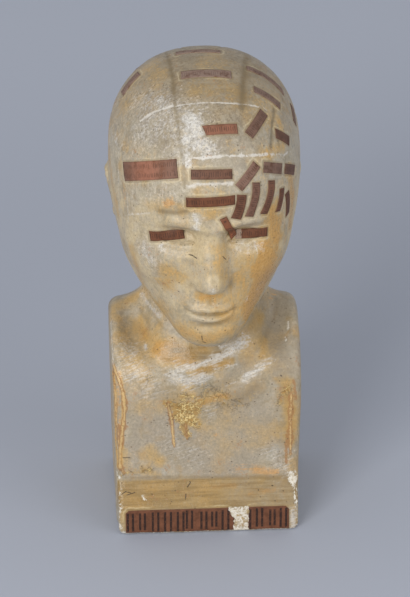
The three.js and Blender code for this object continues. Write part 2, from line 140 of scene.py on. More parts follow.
def skull(p, q):
    dome = skull_body(p, (0, 0, 0.604), (0.366, 0.445, 0.399), 2.25, 0.08)
    return soft_min(dome, ellipsoid(q, (0.19, 0.04, 0.38), (0.135, 0.20, 0.26)), 0.12)


def cheeks_and_jaw(d, p, q):
    d = soft_min(d, ellipsoid(p, (0, -0.15, 0.345), (0.275, 0.262, 0.32)), 0.12)
    d = soft_min(d, ellipsoid(q, (0.15, -0.235, 0.38), (0.10, 0.118, 0.10)), 0.12)
    d = soft_min(d, rod(q, (0.165, 0.02, 0.235), (0.045, -0.315, 0.10), 0.105, 0.088), 0.12)
    d = soft_min(d, ellipsoid(p, (0, -0.355, 0.078), (0.08, 0.08, 0.07)), 0.08)
    return soft_min(d, ellipsoid(p, (0, -0.325, 0.205), (0.13, 0.112, 0.12)), 0.10)


def eyes(d, q):
    socket = ellipsoid(q, (0.118, -0.462, 0.51), (0.082, 0.078, 0.042))
    ball = ellipsoid(q, (0.12, -0.322, 0.493), (0.068, 0.066, 0.052))
    return soft_min(soft_max(d, -socket, 0.07), ball, 0.024)


def nose(d, p, q):
    d = soft_min(d, rod(p, (0, -0.395, 0.545), (0, -0.48, 0.355), 0.018, 0.024), 0.06)
    d = soft_min(d, ellipsoid(p, (0, -0.4, 0.38), (0.056, 0.08, 0.11)), 0.05)
    d = soft_min(d, ellipsoid(p, (0, -0.482, 0.344), (0.034, 0.036, 0.031)), 0.03)
    d = soft_min(d, ellipsoid(q, (0.038, -0.44, 0.331), (0.026, 0.038, 0.025)), 0.03)
    return soft_max(d, -ellipsoid(q, (0.02, -0.452, 0.304), (0.010, 0.018, 0.009)), 0.012)


def brow_and_lids(side, z):
    """Height of the brow, less the depth of the lines round the closed lids."""
    arch = 0.566 + 0.018 * bell(side - 0.125, 0.07) - 0.1 * np.maximum(side - 0.15, 0)
    ridge = 0.013 * bell(z - arch, 0.024) * fade(side, 0.15, 0.24)
    ridge = ridge * (0.55 + 0.45 * fade(-side, -0.08, -0.01))
    t = (side - 0.122) / 0.066
    span = fade(np.abs(t), 0.75, 1.15)
    crease = 0.0065 * bell(z - (0.527 - 0.020 * t * t), 0.0065)
    meeting = 0.0075 * bell(z - (0.4765 + 0.012 * t * t), 0.0050)
    bag = 0.0040 * bell(z - (0.448 + 0.020 * t * t), 0.012)
    return ridge - (crease + meeting + bag) * span


def lips(side, z):
    """Height of the lips, less the depth of the lines between and round them."""
    s = side / 0.088
    width = np.clip(1 - s * s, 0, 1) ** 0.8
    bow = 0.2145 + 0.004 * bell(side - 0.022, 0.018) - 0.006 * s * s
    upper = 0.0155 * bell(z - bow, 0.0155) * width
    lower = 0.0185 * bell(z - (0.1755 + 0.008 * s * s), 0.0165) * width
    lower = lower * (0.8 + 0.2 * fade(side, 0.02, 0.07))
    meeting = 0.0135 * bell(z - (0.1955 + 0.002 * s * s), 0.0060) * fade(side, 0.06, 0.1)
    corner = 0.005 * bell(np.hypot(side - 0.094, z - 0.197), 0.014)
    return upper + lower - meeting - corner


def folds(side, z):
    """Depth of the groove over the lip, and of the folds under it and beside the nose."""
    over = 0.004 * bell(side, 0.010) * fade(np.abs(z - 0.26), 0.01, 0.04)
    under = 0.012 * bell(z - 0.134, 0.022) * fade(side, 0.02, 0.1)
    line = 0.066 + 0.34 * np.clip(0.335 - z, 0, 0.15)
    beside = 0.0035 * bell(side - line, 0.018) * fade(np.abs(z - 0.28), 0.015, 0.085)
    return over + under + beside


def ear(side, y, z):
    """Height of the ear over the side of the head: a leaning rim round a hollow."""
    lean = 0.16
    u = math.cos(lean) * (y - 0.07) - math.sin(lean) * (z - 0.43)
    v = math.sin(lean) * (y - 0.07) + math.cos(lean) * (z - 0.43)
    wide = 0.056 * (1 + 1.5 * np.clip(v, -0.12, 0.12))
    r = np.hypot(u / wide, v / 0.116)
    plate = 0.007 * fade(r, 0.8, 1.12)
    open_front = 1 - 0.75 * bell(u + 0.056, 0.03) * fade(np.abs(v), 0.03, 0.08)
    rim = 0.008 * bell(r - 0.8, 0.17) * open_front
    hollow = 0.020 * bell(np.hypot((u + 0.012) / 0.026, (v + 0.016) / 0.045), 1.0)
    fold = 0.006 * bell(np.hypot((u - 0.010) / 0.020, (v - 0.035) / 0.045) - 0.9, 0.35)
    temple = 0.014 * bell(np.hypot(u / 0.13, v / 0.19), 1.0)
    return (plate + rim + fold - hollow - temple) * fade(-side, -0.26, -0.20)


def head_shape(p):
    side = np.hypot(p[0], 0.003)
    q = (side, p[1], p[2])
    d = cheeks_and_jaw(skull(p, q), p, q)
    d = nose(eyes(d, q), p, q)
    front = brow_and_lids(side, p[2]) + lips(side, p[2]) - folds(side, p[2])
    return d - front * fade(p[1], -0.28, -0.20) - ear(side, p[1], p[2])


def to_head(p):
    """A point in shares of the head's height, with the nod undone."""
    c, s = math.cos(HEAD_NOD), math.sin(HEAD_NOD)
    y, z = p[1] - NOD_PIVOT_Y, p[2] - NOD_PIVOT_Z
    up = c * z - s * y + NOD_PIVOT_Z - CHIN_HEIGHT
    return p[0] / HEAD_HEIGHT, (c * y + s * z + NOD_PIVOT_Y) / HEAD_HEIGHT, up / HEAD_HEIGHT


def from_head(x, y, z):
    """The point in millimetres of one given in shares of the head's height."""
    c, s = math.cos(HEAD_NOD), math.sin(HEAD_NOD)
    y, z = y * HEAD_HEIGHT - NOD_PIVOT_Y, z * HEAD_HEIGHT + CHIN_HEIGHT - NOD_PIVOT_Z
    return np.array([x * HEAD_HEIGHT, c * y - s * z + NOD_PIVOT_Y, s * y + c * z + NOD_PIVOT_Z])


# Neck, shoulders, block and plinth

def neck_foot(side, y, z):
    """Height of the roll under the foot of the neck, less the soft line's depth over it."""
    reach = side / (0.84 * BLOCK_WIDTH / 2)
    rise = 0.26 * SHOULDER_HEIGHT
    line = SHOULDER_HEIGHT - COLLAR_DROP + rise * reach ** 1.6
    steep = np.hypot(1, 1.6 * rise / (0.84 * BLOCK_WIDTH / 2) * reach ** 0.6)
    under = (z - line) / steep
    groove = COLLAR_DEPTH * bell(under, COLLAR_WIDTH) * fade(reach, 0.8, 1.1)
    roll = bell(under + 2 * COLLAR_WIDTH / steep, 1.1 * COLLAR_WIDTH) * fade(reach, 0.7, 1.05)
    return (0.7 * COLLAR_DEPTH * roll - groove) * fade(y / CHEST_FRONT, -0.31, 0.1)


def neck_and_shoulders(d, p, q):
    side = BLOCK_WIDTH / 2
    base = (0, 0.06 * side, RIDGE_CENTRE)
    nape = (0, 0.18 * side, CHIN_HEIGHT + 0.28 * HEAD_HEIGHT)
    d = soft_min(d, rod(p, base, nape, NECK_BASE_RADIUS, NECK_RADIUS), NECK_FLARE)
    collarbone = (0.08 * side, -0.795 * CHEST_FRONT, RIDGE_CENTRE + 0.04 * SHOULDER_HEIGHT)
    behind_ear = (1.03 * NECK_RADIUS, 0.2 * side, CHIN_HEIGHT + 0.21 * HEAD_HEIGHT)
    d = soft_min(d, rod(q, collarbone, behind_ear, 0.08 * side, 0.12 * side), 0.24 * side)
    hollow = (0.78 * side, -0.513 * CHEST_FRONT, 0.98 * SHOULDER_HEIGHT)
    d = soft_max(d, -ellipsoid(q, hollow, (0.16 * side, 0.34 * side, 0.36 * side)), 0.24 * side)
    return d - neck_foot(q[0], p[1], p[2])


def block(p, q):
    level = 0.1 * BLOCK_WIDTH
    drop = SHOULDER_DROP * np.maximum(q[0] - level, 0) / (BLOCK_WIDTH / 2 - level)
    rise = np.maximum(p[2] - RIDGE_CENTRE + drop, 0)
    return np.hypot(p[1] - RIDGE_Y, rise) - RIDGE_RADIUS


def plinth(p, q):
    run = PLINTH_FRONT - CHEST_FRONT
    over = (p[2] - PLINTH_HEIGHT) * run - (p[1] + PLINTH_FRONT) * SPLAY_HEIGHT
    splay = over / math.hypot(run, SPLAY_HEIGHT)
    d = soft_max(-p[1] - PLINTH_FRONT, splay, WORN_EDGE)
    d = np.maximum(d, p[2] - PLINTH_HEIGHT - 1.1 * SPLAY_HEIGHT)
    d = np.maximum(d, p[1] + 0.5 * CHEST_FRONT)
    side = soft_max(q[0] - BLOCK_WIDTH / 2 + PLINTH_INSET, -p[2], WORN_CORNER)
    return soft_max(d, side, 2 * WORN_EDGE)


def bust_shape(p):
    q = (np.abs(p[0]), p[1], p[2])
    d = neck_and_shoulders(block(p, q), p, q)
    side = q[0] - BLOCK_WIDTH / 2 - BLOCK_SPREAD * p[2] / SHOULDER_HEIGHT
    d = soft_max(d, soft_max(side, -p[2], WORN_CORNER), SIDE_ROUND)
    d = soft_min(d, plinth(p, q), 2 * WORN_EDGE)
    d = soft_max(d, p[1] - BLOCK_BACK, BACK_ROUND)
    d = soft_min(d, head_shape(to_head(p)) * HEAD_HEIGHT, NECK_JOIN)
    return soft_max(d, -p[2], WORN_EDGE)


def slope_of(points, step=0.05):
    """The field's slope at each row of points."""
    slope = np.empty_like(points)
    for axis in range(3):
        more, less = points.copy(), points.copy()
        more[:, axis] += step
        less[:, axis] -= step
        slope[:, axis] = (bust_shape(more.T) - bust_shape(less.T)) / (2 * step)
    return slope


def settle(points, passes=3, reach=0.6):
    """Moves each row along the slope until it lies on the surface."""
    for _ in range(passes):
        slope = slope_of(points)
        steep = np.maximum((slope ** 2).sum(1), 0.25)
        move = np.clip(bust_shape(points.T) / steep, -reach, reach)
        points = points - slope * move[:, None]
    return points


def unit(vectors):
    return vectors / np.linalg.norm(vectors, axis=-1, keepdims=True)


# The fine mesh

def stations(low, high, bands):
    """Coordinates from low to past high, each a step of its band after the last."""
    found = [low]
    while found[-1] < high:
        found.append(found[-1] + next(step for end, step in bands if found[-1] < end))
    return np.array(found)


MARGIN = 4.0                      # of the grid round the solid


def bust_axes():
    """Grid coordinates, in bands of (end, step): finest over the face and the front."""
    low, high = (np.array(corner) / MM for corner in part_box("bust"))
    half = stations(0.0, high[0] + MARGIN, [(33, 0.9), (43, 1.5), (math.inf, 1.05)])
    ys = stations(low[1] - MARGIN, high[1] + MARGIN, [(-34, 1.0), (math.inf, 1.9)])
    zs = stations(low[2] - MARGIN, high[2] + MARGIN, [
        (4, 1.0),
        (PLINTH_HEIGHT - 3, 1.7),
        (PLINTH_HEIGHT + SPLAY_HEIGHT + 3, 1.2),
        (CHIN_HEIGHT - 4, 1.7),
        (CHIN_HEIGHT + 0.66 * HEAD_HEIGHT, 0.9),
        (math.inf, 1.4),
    ])
    return np.concatenate([-half[:0:-1], half]), ys, zs


def surface_net(axes):
    """One vertex for each grid cell that the surface crosses, one quad for each crossed edge."""
    value = bust_shape(np.meshgrid(*axes, indexing="ij", sparse=True))
    cells, points = [], []
    for axis in range(3):
        near = value.take(range(value.shape[axis] - 1), axis)
        far = value.take(range(1, value.shape[axis]), axis)
        index = np.argwhere((near < 0) != (far < 0))
        a, b = near[tuple(index.T)], far[tuple(index.T)]
        point = np.stack([axes[i][index[:, i]] for i in range(3)], 1)
        step = axes[axis][index[:, axis] + 1] - axes[axis][index[:, axis]]
        point[:, axis] += step * a / (a - b)
        around = []
        for u_step, v_step in ((-1, -1), (0, -1), (0, 0), (-1, 0)):
            cell = index.copy()
            cell[:, (axis + 1) % 3] += u_step
            cell[:, (axis + 2) % 3] += v_step
            around.append(np.ravel_multi_index(cell.T, value.shape))
        around = np.stack(around, 1)
        around[a > 0] = around[a > 0][:, ::-1]
        cells.append(around)
        points.append(np.repeat(point[:, None], 4, axis=1))
    cells, points = np.concatenate(cells), np.concatenate(points).reshape(-1, 3)
    _, quads = np.unique(cells.ravel(), return_inverse=True)
    count = np.bincount(quads)
    vertices = np.stack([np.bincount(quads, points[:, i]) / count for i in range(3)], 1)
    return vertices, quads.reshape(-1, 4)


def relax(vertices, quads, passes):
    """Evens out the facets: each vertex goes towards its neighbours' middle, on the surface."""
    edges = np.concatenate([quads[:, [i, (i + 1) % 4]] for i in range(4)])
    count = np.bincount(edges[:, 0], minlength=len(vertices))
    for _ in range(passes):
        middle = np.stack([
            np.bincount(edges[:, 0], vertices[edges[:, 1], i], len(vertices)) / count
            for i in range(3)
        ], 1)
        vertices = settle(vertices + 0.5 * (middle - vertices), passes=1)
    return vertices


# Places on the surface

def heading(turn, rise):
    """The direction so many radians round from the face and up."""
    return np.stack([np.sin(turn) * np.cos(rise), -np.cos(turn) * np.cos(rise), np.sin(rise)], -1)


def camera_axes():
    """The camera's right, up and back directions."""
    back = heading(CAMERA_AZIMUTH, CAMERA_ELEVATION)
    right = unit(np.cross(-back, (0, 0, 1)))
    return right, np.cross(right, -back), back


def drop(points, ways, steps=60):
    """Moves each point along its way until it meets the surface, and says which did."""
    points = points.copy()
    for _ in range(steps):
        points += ways * np.clip(0.8 * bust_shape(points.T), -20, 20)[:, None]
    return points, np.abs(bust_shape(points.T)) < 0.2


def stretches(line, count):
    """Pairs along a flat line of pairs, so many for each stretch of it."""
    pairs = np.reshape(line, (-1, 2))
    parts = [np.linspace(a, b, count, endpoint=False) for a, b in zip(pairs[:-1], pairs[1:])]
    return np.concatenate(parts + [pairs[-1:]]).T


@functools.cache
def under_pixels(line, spacing=1.6):
    """Points of the surface along a line of the photograph's pixels."""
    pixels = np.reshape(line, (-1, 2))
    dense = [pixels[0]]
    for a, b in zip(pixels[:-1], pixels[1:]):
        count = max(1, math.ceil(np.linalg.norm(b - a) / spacing))
        dense += [a + (b - a) * (i + 1) / count for i in range(count)]
    dense = np.array(dense, float)
    right, up, back = camera_axes()
    across = (dense[:, :1] - MIDDLE_PIXEL[0]) * right - (dense[:, 1:] - MIDDLE_PIXEL[1]) * up
    ways = unit(across - FOCAL_PIXELS * back)
    start = CAMERA_AIM + back * CAMERA_DISTANCE + ways * (CAMERA_DISTANCE - 1.4 * HEAD_HEIGHT)
    points, met = drop(start, ways)
    return points[met]


@functools.cache
def round_head(line):
    """Points of the surface along a line of degrees round from the face and degrees up."""
    ways = heading(*np.radians(stretches(line, 16)))
    points, met = drop(from_head(0, 0, 0.5) + ways * HEAD_HEIGHT, -ways)
    return points[met]


@functools.cache
def round_block(line):
    """Points of the surface along a line of degrees round from the face and millimetres up."""
    turn, height = stretches(line, 24)
    ways = heading(np.radians(turn), 0 * turn)
    start = ways * BLOCK_WIDTH * 1.5
    start[:, 1] += RIDGE_Y
    start[:, 2] = height
    points, met = drop(start, -ways)
    return points[met]


# Fixed noise for the shape

LATTICE_SIZE = 32
LATTICE = np.random.default_rng(11).random((LATTICE_SIZE,) * 3)


def noise(points, size):
    """Smooth noise from -1 to 1 with features of one size."""
    place = points / size
    base = np.floor(place).astype(int)
    t = place - base
    t = t * t * (3 - 2 * t)
    total = np.zeros(len(points))
    for corner in np.ndindex(2, 2, 2):
        weight = np.prod(np.where(corner, t, 1 - t), axis=1)
        cell = (base + corner) % LATTICE_SIZE
        total += weight * LATTICE[cell[:, 0], cell[:, 1], cell[:, 2]]
    return 2 * total - 1


# Marks on the plaster: half-width in millimetres, strength, then a line of pixels, x and y in turn

GROOVES = [
    (1.7, 0.9, 165, 50, 170, 62, 172, 75, 173.5, 90),
    (1.2, 0.7, 173.5, 90, 175, 104, 177, 120, 180, 142),
    (1.3, 0.7, 180, 142, 183.5, 167, 184.5, 188),
    (1.8, 0.9, 246, 58, 244, 76, 243, 92, 242, 108),
    (1, 0.5, 242, 108, 242, 124, 241.5, 140),
    (1.6, 1, 275, 108, 273, 125, 271.5, 146),
    (0.8, 0.6, 233, 111, 243, 122),
    (0.8, 0.5, 121.5, 155, 121.5, 190, 124, 216),
]
# Round the back of the head, in degrees round and up, then the same on its other side
HIDDEN_GROOVES = [
    (1, 0.8, 152, 78, 163, 55, 168, 30, 166, 8),
    (1, 0.7, 72, 50, 105, 52, 140, 56, 168, 58, 192, 58),
    (1, 0.7, 72, 24, 95, 36, 130, 32, 167, 24),
    (1, 0.7, 128, 55, 124, 32, 126, 10, 150, 2, 167, 0),
    (1, 0.6, 95, 36, 92, 56),
]
HIDDEN_GROOVES += [
    (width, strength, *np.multiply(line, (-1, 1) * (len(line) // 2)))
    for width, strength, *line in HIDDEN_GROOVES
]
PALE_LINES = [
    (0.9, 1.1, 140, 121, 154, 112, 172, 106),
    (0.6, 1.1, 172, 106, 201, 102.5, 226, 103, 244, 104, 262, 107, 267, 110),
    (0.7, 1.3, 186, 162, 192, 158.5, 206, 158, 222, 156, 253, 155.5),
    (0.7, 1.3, 253, 155.5, 268, 154, 284, 155, 291, 151),
    (1.4, 0.9, 187, 187, 197, 184.5, 232, 184),
    (0.9, 0.8, 124, 215, 150, 213),
    (0.5, 0.8, 241, 146, 241.5, 155),
    (0.6, 0.6, 256, 74, 268, 82, 280, 96),
    (0.6, 0.7, 293, 140, 288, 148),
    (0.5, 0.7, 284, 156, 285, 170),
]
# Bare places worn white, with painted highlights on the left of the forehead and in streaks on the
# chest
PALE_WEAR_AND_HIGHLIGHTS = [
    # wear and painted highlight on the left of the forehead
    (6, 0.8, 160, 102, 166, 110),
    (4, 0.7, 184, 111, 192, 116),
    (5.5, 1.4, 191, 118, 197, 130),
    (6, 1, 188, 138, 207, 148),
    (3, 0.9, 187, 152, 188, 166),
    # wear and painted highlight on the left of the forehead
    (17, 0.6, 148, 128, 168, 118, 184, 132),
    (9, 0.5, 178, 108, 200, 106),
    (12, 0.3, 130, 190, 150, 196, 170, 192),
    (9, 0.35, 113, 134, 120, 150),
    # wear and painted highlight on the left of the forehead
    (5, 0.5, 146, 100, 152, 92),
    (1.2, 0.8, 107, 124, 119, 150),
    (1, 0.6, 114, 126, 118, 148),
    (0.9, 0.7, 118, 170, 119, 220),
    (1, 0.5, 127, 196, 128, 222),
    (6, 0.7, 144, 250, 152, 262),
    (2, 0.9, 161, 245, 163, 249),
    (5, 0.6, 240, 246, 256, 246),
    (1.6, 0.8, 141, 294, 150, 306, 160, 316),
    (1.2, 0.6, 142, 280, 155, 306),
    (1.8, 0.4, 246, 300, 256, 290, 262, 282),
    # painted highlights, with wear, in streaks on the chest
    (2.8, 0.9, 172, 372, 190, 367, 212, 361),
    (3.4, 0.9, 212, 361, 230, 352, 245, 341),
    (1.6, 0.8, 222, 348, 238, 341, 248, 336),
    (5, 0.9, 174, 374, 186, 381, 203, 379),
    (1.4, 0.7, 212, 372, 224, 367, 236, 365),
    (1, 0.9, 111, 322, 112, 345, 113, 366),
    # painted highlight, with wear, on the chest
    (2.8, 0.8, 243, 379, 257, 370, 269, 361),
    (1.4, 0.7, 226, 386, 240, 379),
    (4, 0.4, 180, 388, 200, 386),
    (5, 0.5, 214, 404, 207, 414),
    (3, 0.8, 195, 216, 196, 228),
    (1.4, 1, 145, 344, 146, 350),
    (10, 0.6, 126, 348, 132, 370, 150, 385),
    (6, 0.45, 270, 452, 286, 462, 284, 470),
    (10, 0.35, 172, 445, 196, 456),
    # wear and painted highlight on the left of the forehead
    (10, 0.6, 138, 101, 158, 101),
    (3, 0.9, 293, 511, 293, 527),
    (1.2, 1.5, 124, 533.4, 200, 532.8),
]
OCHRE = [
    (10, 0.95, 141, 330, 156, 350, 180, 357),
    (9, 1, 182, 330, 205, 340, 230, 330),
    (5, 1, 185, 352, 205, 349),
    (4, 1.1, 200, 371, 216, 366, 230, 362),
    (6, 0.9, 244, 334, 262, 316),
    (13, 1.5, 268, 256, 262, 284, 250, 308),
    (17, 0.9, 250, 262, 244, 292, 230, 318),
    (10, 0.7, 146, 322, 160, 340, 176, 352),
    (8, 0.9, 221, 250, 224, 280),
    (6, 0.9, 132, 250, 136, 268, 146, 290),
    (14, 0.55, 160, 300, 176, 318),
    (30, 0.45, 180, 262, 226, 276, 210, 310),
    (6, 1.1, 203, 296, 216, 297),
    (9, 0.9, 172, 274, 166, 284),
    (4, 0.8, 230, 228, 232, 246),
    (9, 0.9, 134, 275, 146, 292, 160, 308),
    (8, 1.2, 272, 212, 276, 240),
    (9, 1.3, 160, 348, 188, 356),
    (8, 0.8, 246, 352, 262, 340),
    (7, 0.9, 168, 270, 180, 278),
    (6, 0.8, 109, 118, 108, 150, 112, 184, 118, 214),
    (9, 0.7, 148, 66, 160, 76),
    (5, 0.8, 157, 86),
    (7, 0.6, 128, 108, 140, 98),
    (9, 0.5, 128, 145, 150, 150),
    (6, 0.8, 116, 306, 128, 300, 136, 294),
    (4, 0.9, 262, 355, 265, 340),
    (4, 0.9, 279, 119, 283, 134),
    (5, 0.9, 283, 147, 268, 153),
    (5, 0.6, 228, 144, 234, 150),
    (9, 0.5, 205, 188, 226, 186),
    (5, 0.8, 192, 208, 215, 212),
    (7, 0.7, 168, 204, 150, 206),
    (14, 0.6, 200, 90, 232, 92),
    (7, 0.6, 212, 54, 204, 66),
    (6, 1.1, 290, 170, 293, 200, 290, 225),
    (6, 0.8, 150, 450, 160, 463),
    (7, 0.7, 122, 455, 124, 468),
    (3, 0.7, 126, 472, 160, 474),
    (6.5, 1, 285, 383, 289, 405, 291, 440),
    (10, 0.5, 232, 445, 270, 430),
    (1.4, 1.2, 114, 372, 115.5, 400, 115.5, 440, 118, 466),
    (1.6, 1.2, 119, 372, 124.5, 400, 122, 430, 121, 466),
    (4, 1, 206, 400, 220, 396),
    (8, 0.9, 182, 408, 192, 420),
]
# Varnish, and painted shade: under the chin, on the slope under the neck and at the chest's top
# right
VARNISH_AND_SHADE = [
    (12, 0.8, 196, 88, 236, 92),
    (16, 0.7, 160, 70, 205, 58, 250, 70),
    (6, 0.5, 112, 312, 124, 304),
    (5, 1, 206, 402, 226, 395),
    (6, 0.8, 284, 380, 287, 440),
    # painted shadow under the chin
    (5, 2.2, 172, 350, 186, 353, 204, 355, 220, 350),
    # varnish and painted shade on the slope under the neck
    (3.6, 1.5, 200, 371, 216, 366, 232, 361),
    (9, 0.8, 222, 394, 252, 388),
    (6, 0.9, 244, 358, 262, 342),
    # painted shade at the chest's top right, beside the shoulder's hollow
    (9, 0.7, 274, 350, 284, 370),
    (7, 0.7, 166, 388, 176, 398),
    (7, 1, 238, 338, 252, 322, 262, 306),
]
STAINS = [
    (2.6, 1, 166, 204, 172, 203),
    (3, 0.6, 146, 70),
    (2, 0.6, 236, 469, 256, 470),
    (2.4, 1, 256, 470, 277, 472),
    (2.6, 0.8, 214, 487, 234, 486),
    (2.4, 0.8, 250, 494, 274, 490),
    (1.6, 0.8, 188, 461),
    (1.6, 0.7, 216, 435),
    (3, 0.5, 276, 226),
    (2.4, 0.8, 206, 402, 226, 395),
    (2.2, 0.6, 124, 190, 125, 205),
    (0.9, 0.9, 117, 384, 119, 395, 118, 404),
    (0.7, 0.9, 120, 412, 119, 430, 119, 446),
    (3, 0.6, 277, 280, 272, 296),
    (3, 0.7, 206, 296, 214, 297),
    (3, 0.4, 226, 98),
]
# Old grey, and painted shade on the right side of the neck and at the chest's top right
GREY_AND_SHADE = [
    (18, 0.5, 150, 120, 165, 112),
    (10, 0.9, 206, 146, 236, 143),
    (9, 0.6, 134, 193, 172, 194),
    (22, 0.5, 200, 60, 230, 70),
    (20, 0.8, 150, 410, 180, 440, 210, 460),
    (22, 0.8, 240, 400, 250, 430, 230, 460),
    # painted shade on the dark right side of the neck
    (9, 1, 278, 302, 272, 325, 262, 348, 250, 372),
    (5, 0.8, 258, 384, 240, 404),
    (5, 0.8, 134, 445, 136, 425),
    (12, 0.6, 146, 140, 168, 128, 172, 150),
    (2.6, 1.2, 118, 380, 119.5, 410, 119, 440),
    (8, 0.5, 200, 230, 204, 250),
    (9, 0.7, 150, 252, 174, 256),
    # painted shade at the chest's top right
    (10, 0.9, 274, 350, 284, 374),
]
DIRT = [
    (1.6, 0.8, 160, 211, 176, 213, 186, 211),
    (1.7, 0.6, 123, 478, 160, 477, 205, 477),
    (1.7, 0.6, 205, 477, 250, 477, 289, 478),
    (3, 0.5, 277, 300, 273, 320, 266, 336),
    (2, 0.5, 141, 310, 150, 326),
    (1.2, 0.7, 277, 130, 279, 146),
    (3.2, 0.7, 247, 54, 244, 84, 243, 106),
    (2, 0.6, 167, 52, 173, 76, 174, 92),
    (2.6, 0.5, 256, 66, 276, 86, 286, 104),
    (2.4, 0.4, 236, 404, 256, 386),
    (1.2, 0.5, 152, 312, 163, 328),
]
CRACKLE = [
    (2.6, 1.1, 167, 404, 176, 407),
    (4.2, 1.2, 178, 408, 195, 410),
    (4, 1.2, 178, 415, 190, 421),
    (2.8, 1.1, 184, 427, 187, 435),
    (3, 1, 194, 406, 203, 402),
    (2.4, 1, 188, 418, 196, 414),
    (1.6, 0.7, 180, 397, 200, 396),
    (5, 0.26, 152, 374, 144, 384),
    (9, 0.38, 206, 392, 236, 404),
    (1.8, 0.5, 206, 402, 224, 396),
    (2.4, 0.6, 278, 404, 287, 390),
    (2, 0.6, 119, 474, 150, 470),
]
DRIPS = [
    (1.1, 1.2, 113.5, 365, 119, 380, 123.5, 394),
    (1.1, 1.2, 123.5, 394, 125, 410, 122.5, 430, 120.5, 450, 119.5, 468),
    (0.9, 1.1, 112.5, 372, 116, 400, 116.5, 425),
    (0.9, 0.9, 118, 425, 119, 460, 124, 474),
    (0.9, 1.2, 168, 403, 172, 422, 174, 446),
    (0.7, 1, 186, 425, 187, 440),
    (1, 1.1, 291, 394, 290, 419, 290.5, 454),
    (0.8, 0.9, 288, 430, 286, 462),
    (0.8, 0.8, 294, 380, 296, 400),
]
CHIPS = [
    (3, 1, 292, 474, 293, 481),
    (0.8, 0.8, 294, 485, 295, 503),
    (1.3, 0.8, 117, 474, 119, 477),
    (1, 0.9, 118, 503, 119, 509),
    (0.8, 0.8, 142, 496, 145, 500),
    (0.8, 0.8, 111, 340, 113, 352),
    (0.8, 0.8, 113, 358, 113.5, 366),
    (1.1, 0.9, 288, 321, 288, 330),
    (0.9, 0.8, 285, 336, 286, 341),
    (0.7, 0.8, 140.5, 121),
    (0.9, 0.8, 219, 346),
]
# Short black lines: half-width, then pixels
SCRATCHES = [
    (0.34, 189.2, 254.4, 192.5, 255.4, 196.6, 258.2),
    (0.26, 223, 256.5, 226, 259.5),
    (0.28, 201.8, 336, 202.4, 340),
    (0.34, 203, 341.8, 205.5, 342.6),
    (0.26, 111.5, 318.8, 119, 318),
    (0.24, 123, 457.8, 130, 457.8),
    (0.3, 187.5, 487, 190.5, 482.5),
    (0.26, 186, 494, 185.5, 499),
    (0.22, 122, 494, 126, 491.5, 131, 493),
    (0.2, 127, 495, 135, 492.5),
    (0.4, 281, 375.5, 281.5, 376),
    (0.34, 272, 485.5, 272.8, 485.5),
    (0.3, 176.3, 105.5, 177.5, 107),
]
# The block's sides and back, in degrees round and millimetres up, by kind of mark
BEHIND = {
    "ochre": [
        (13, 0.9, 150, 112, 180, 104, 206, 112),
        (8, 0.9, 128, 100, 128, 40),
        (10, 0.8, 228, 30, 232, 12),
        (14, 0.6, 176, 60, 190, 30),
        (8, 0.9, 92, 108, 100, 84),
        (10, 0.8, 268, 26, 250, 14),
        (7, 0.7, 84, 14, 108, 12),
    ],
    "grey": [
        (16, 0.8, 208, 90, 212, 50),
        (14, 0.8, 100, 40, 110, 70),
        (16, 0.7, 262, 70, 250, 100),
    ],
    "varnish": [
        (10, 0.8, 160, 122, 200, 122),
        (12, 0.7, 140, 30, 170, 12),
        (8, 0.7, 270, 108, 250, 112),
    ],
    "wear_and_highlight": [
        (5, 0.8, 160, 88, 186, 82),
        (3, 0.9, 196, 46, 214, 52),
        (4, 0.8, 96, 60, 112, 52),
        (3, 0.9, 258, 84, 246, 96),
        (7, 0.6, 168, 20, 150, 14),
        (1.4, 0.9, 128.5, 10, 128.5, 96),
        (1.4, 0.9, 231.5, 20, 231.5, 108),
        (1.2, 0.9, 132, 2, 180, 1.5, 228, 2),
    ],
    "drip": [
        (1.1, 1.1, 148, 108, 149, 70, 147, 44),
        (0.9, 1.1, 157, 104, 158, 76),
        (1, 1, 214, 108, 213, 60),
        (0.9, 1, 262, 100, 262, 60, 260, 40),
        (0.9, 1, 98, 96, 99, 62),
    ],
    "dirt": [
        (2.4, 0.6, 100, 3, 128, 3, 180, 3),
        (2.4, 0.6, 180, 3, 232, 3, 262, 3),
        (5, 0.5, 150, 130, 210, 130),
    ],
    "chip": [
        (2.2, 1, 128.5, 6, 128.5, 16),
        (1.2, 0.9, 231.5, 60, 231.5, 78),
        (1.4, 0.9, 231.5, 100, 231.5, 108),
        (1.2, 0.9, 128.5, 70, 128.5, 84),
        (1.6, 0.9, 231.5, 3, 238, 3),
    ],
}


def painted(points, marks, fray=0.35, place=under_pixels):
    """How strongly the marks cover each point, with frayed edges."""
    cover = np.zeros(len(points))
    wander = 1 + fray * (noise(points, 2.2) + 0.7 * noise(points + 50, 5.5))
    for width, strength, *line in marks:
        path = place(tuple(line))
        middle = path.mean(0)
        reach = np.linalg.norm(path - middle, axis=1).max() + 3 * width
        near = np.flatnonzero(((points - middle) ** 2).sum(1) < reach ** 2)
        here = points[near]
        square = (here ** 2).sum(1)[:, None] + (path ** 2).sum(1) - 2 * here @ path.T
        gap = np.sqrt(np.maximum(square.min(1), 0)) * wander[near]
        cover[near] = np.maximum(cover[near], strength * bell(gap, width))
    return cover


def bending(points, reach=2.5):
    """Above 0 on ridges and below 0 in hollows, at about 1 on the block's edges."""
    around = sum(
        bust_shape((points + sign * reach * np.eye(3)[axis]).T)
        for axis in range(3) for sign in (-1, 1)
    )
    return (around - 6 * bust_shape(points.T)) / reach


TORN_LEFT = 10.0                  # where the plate label is torn off
TORN_RIGHT = 22.6
TORN_TOP = 16.4


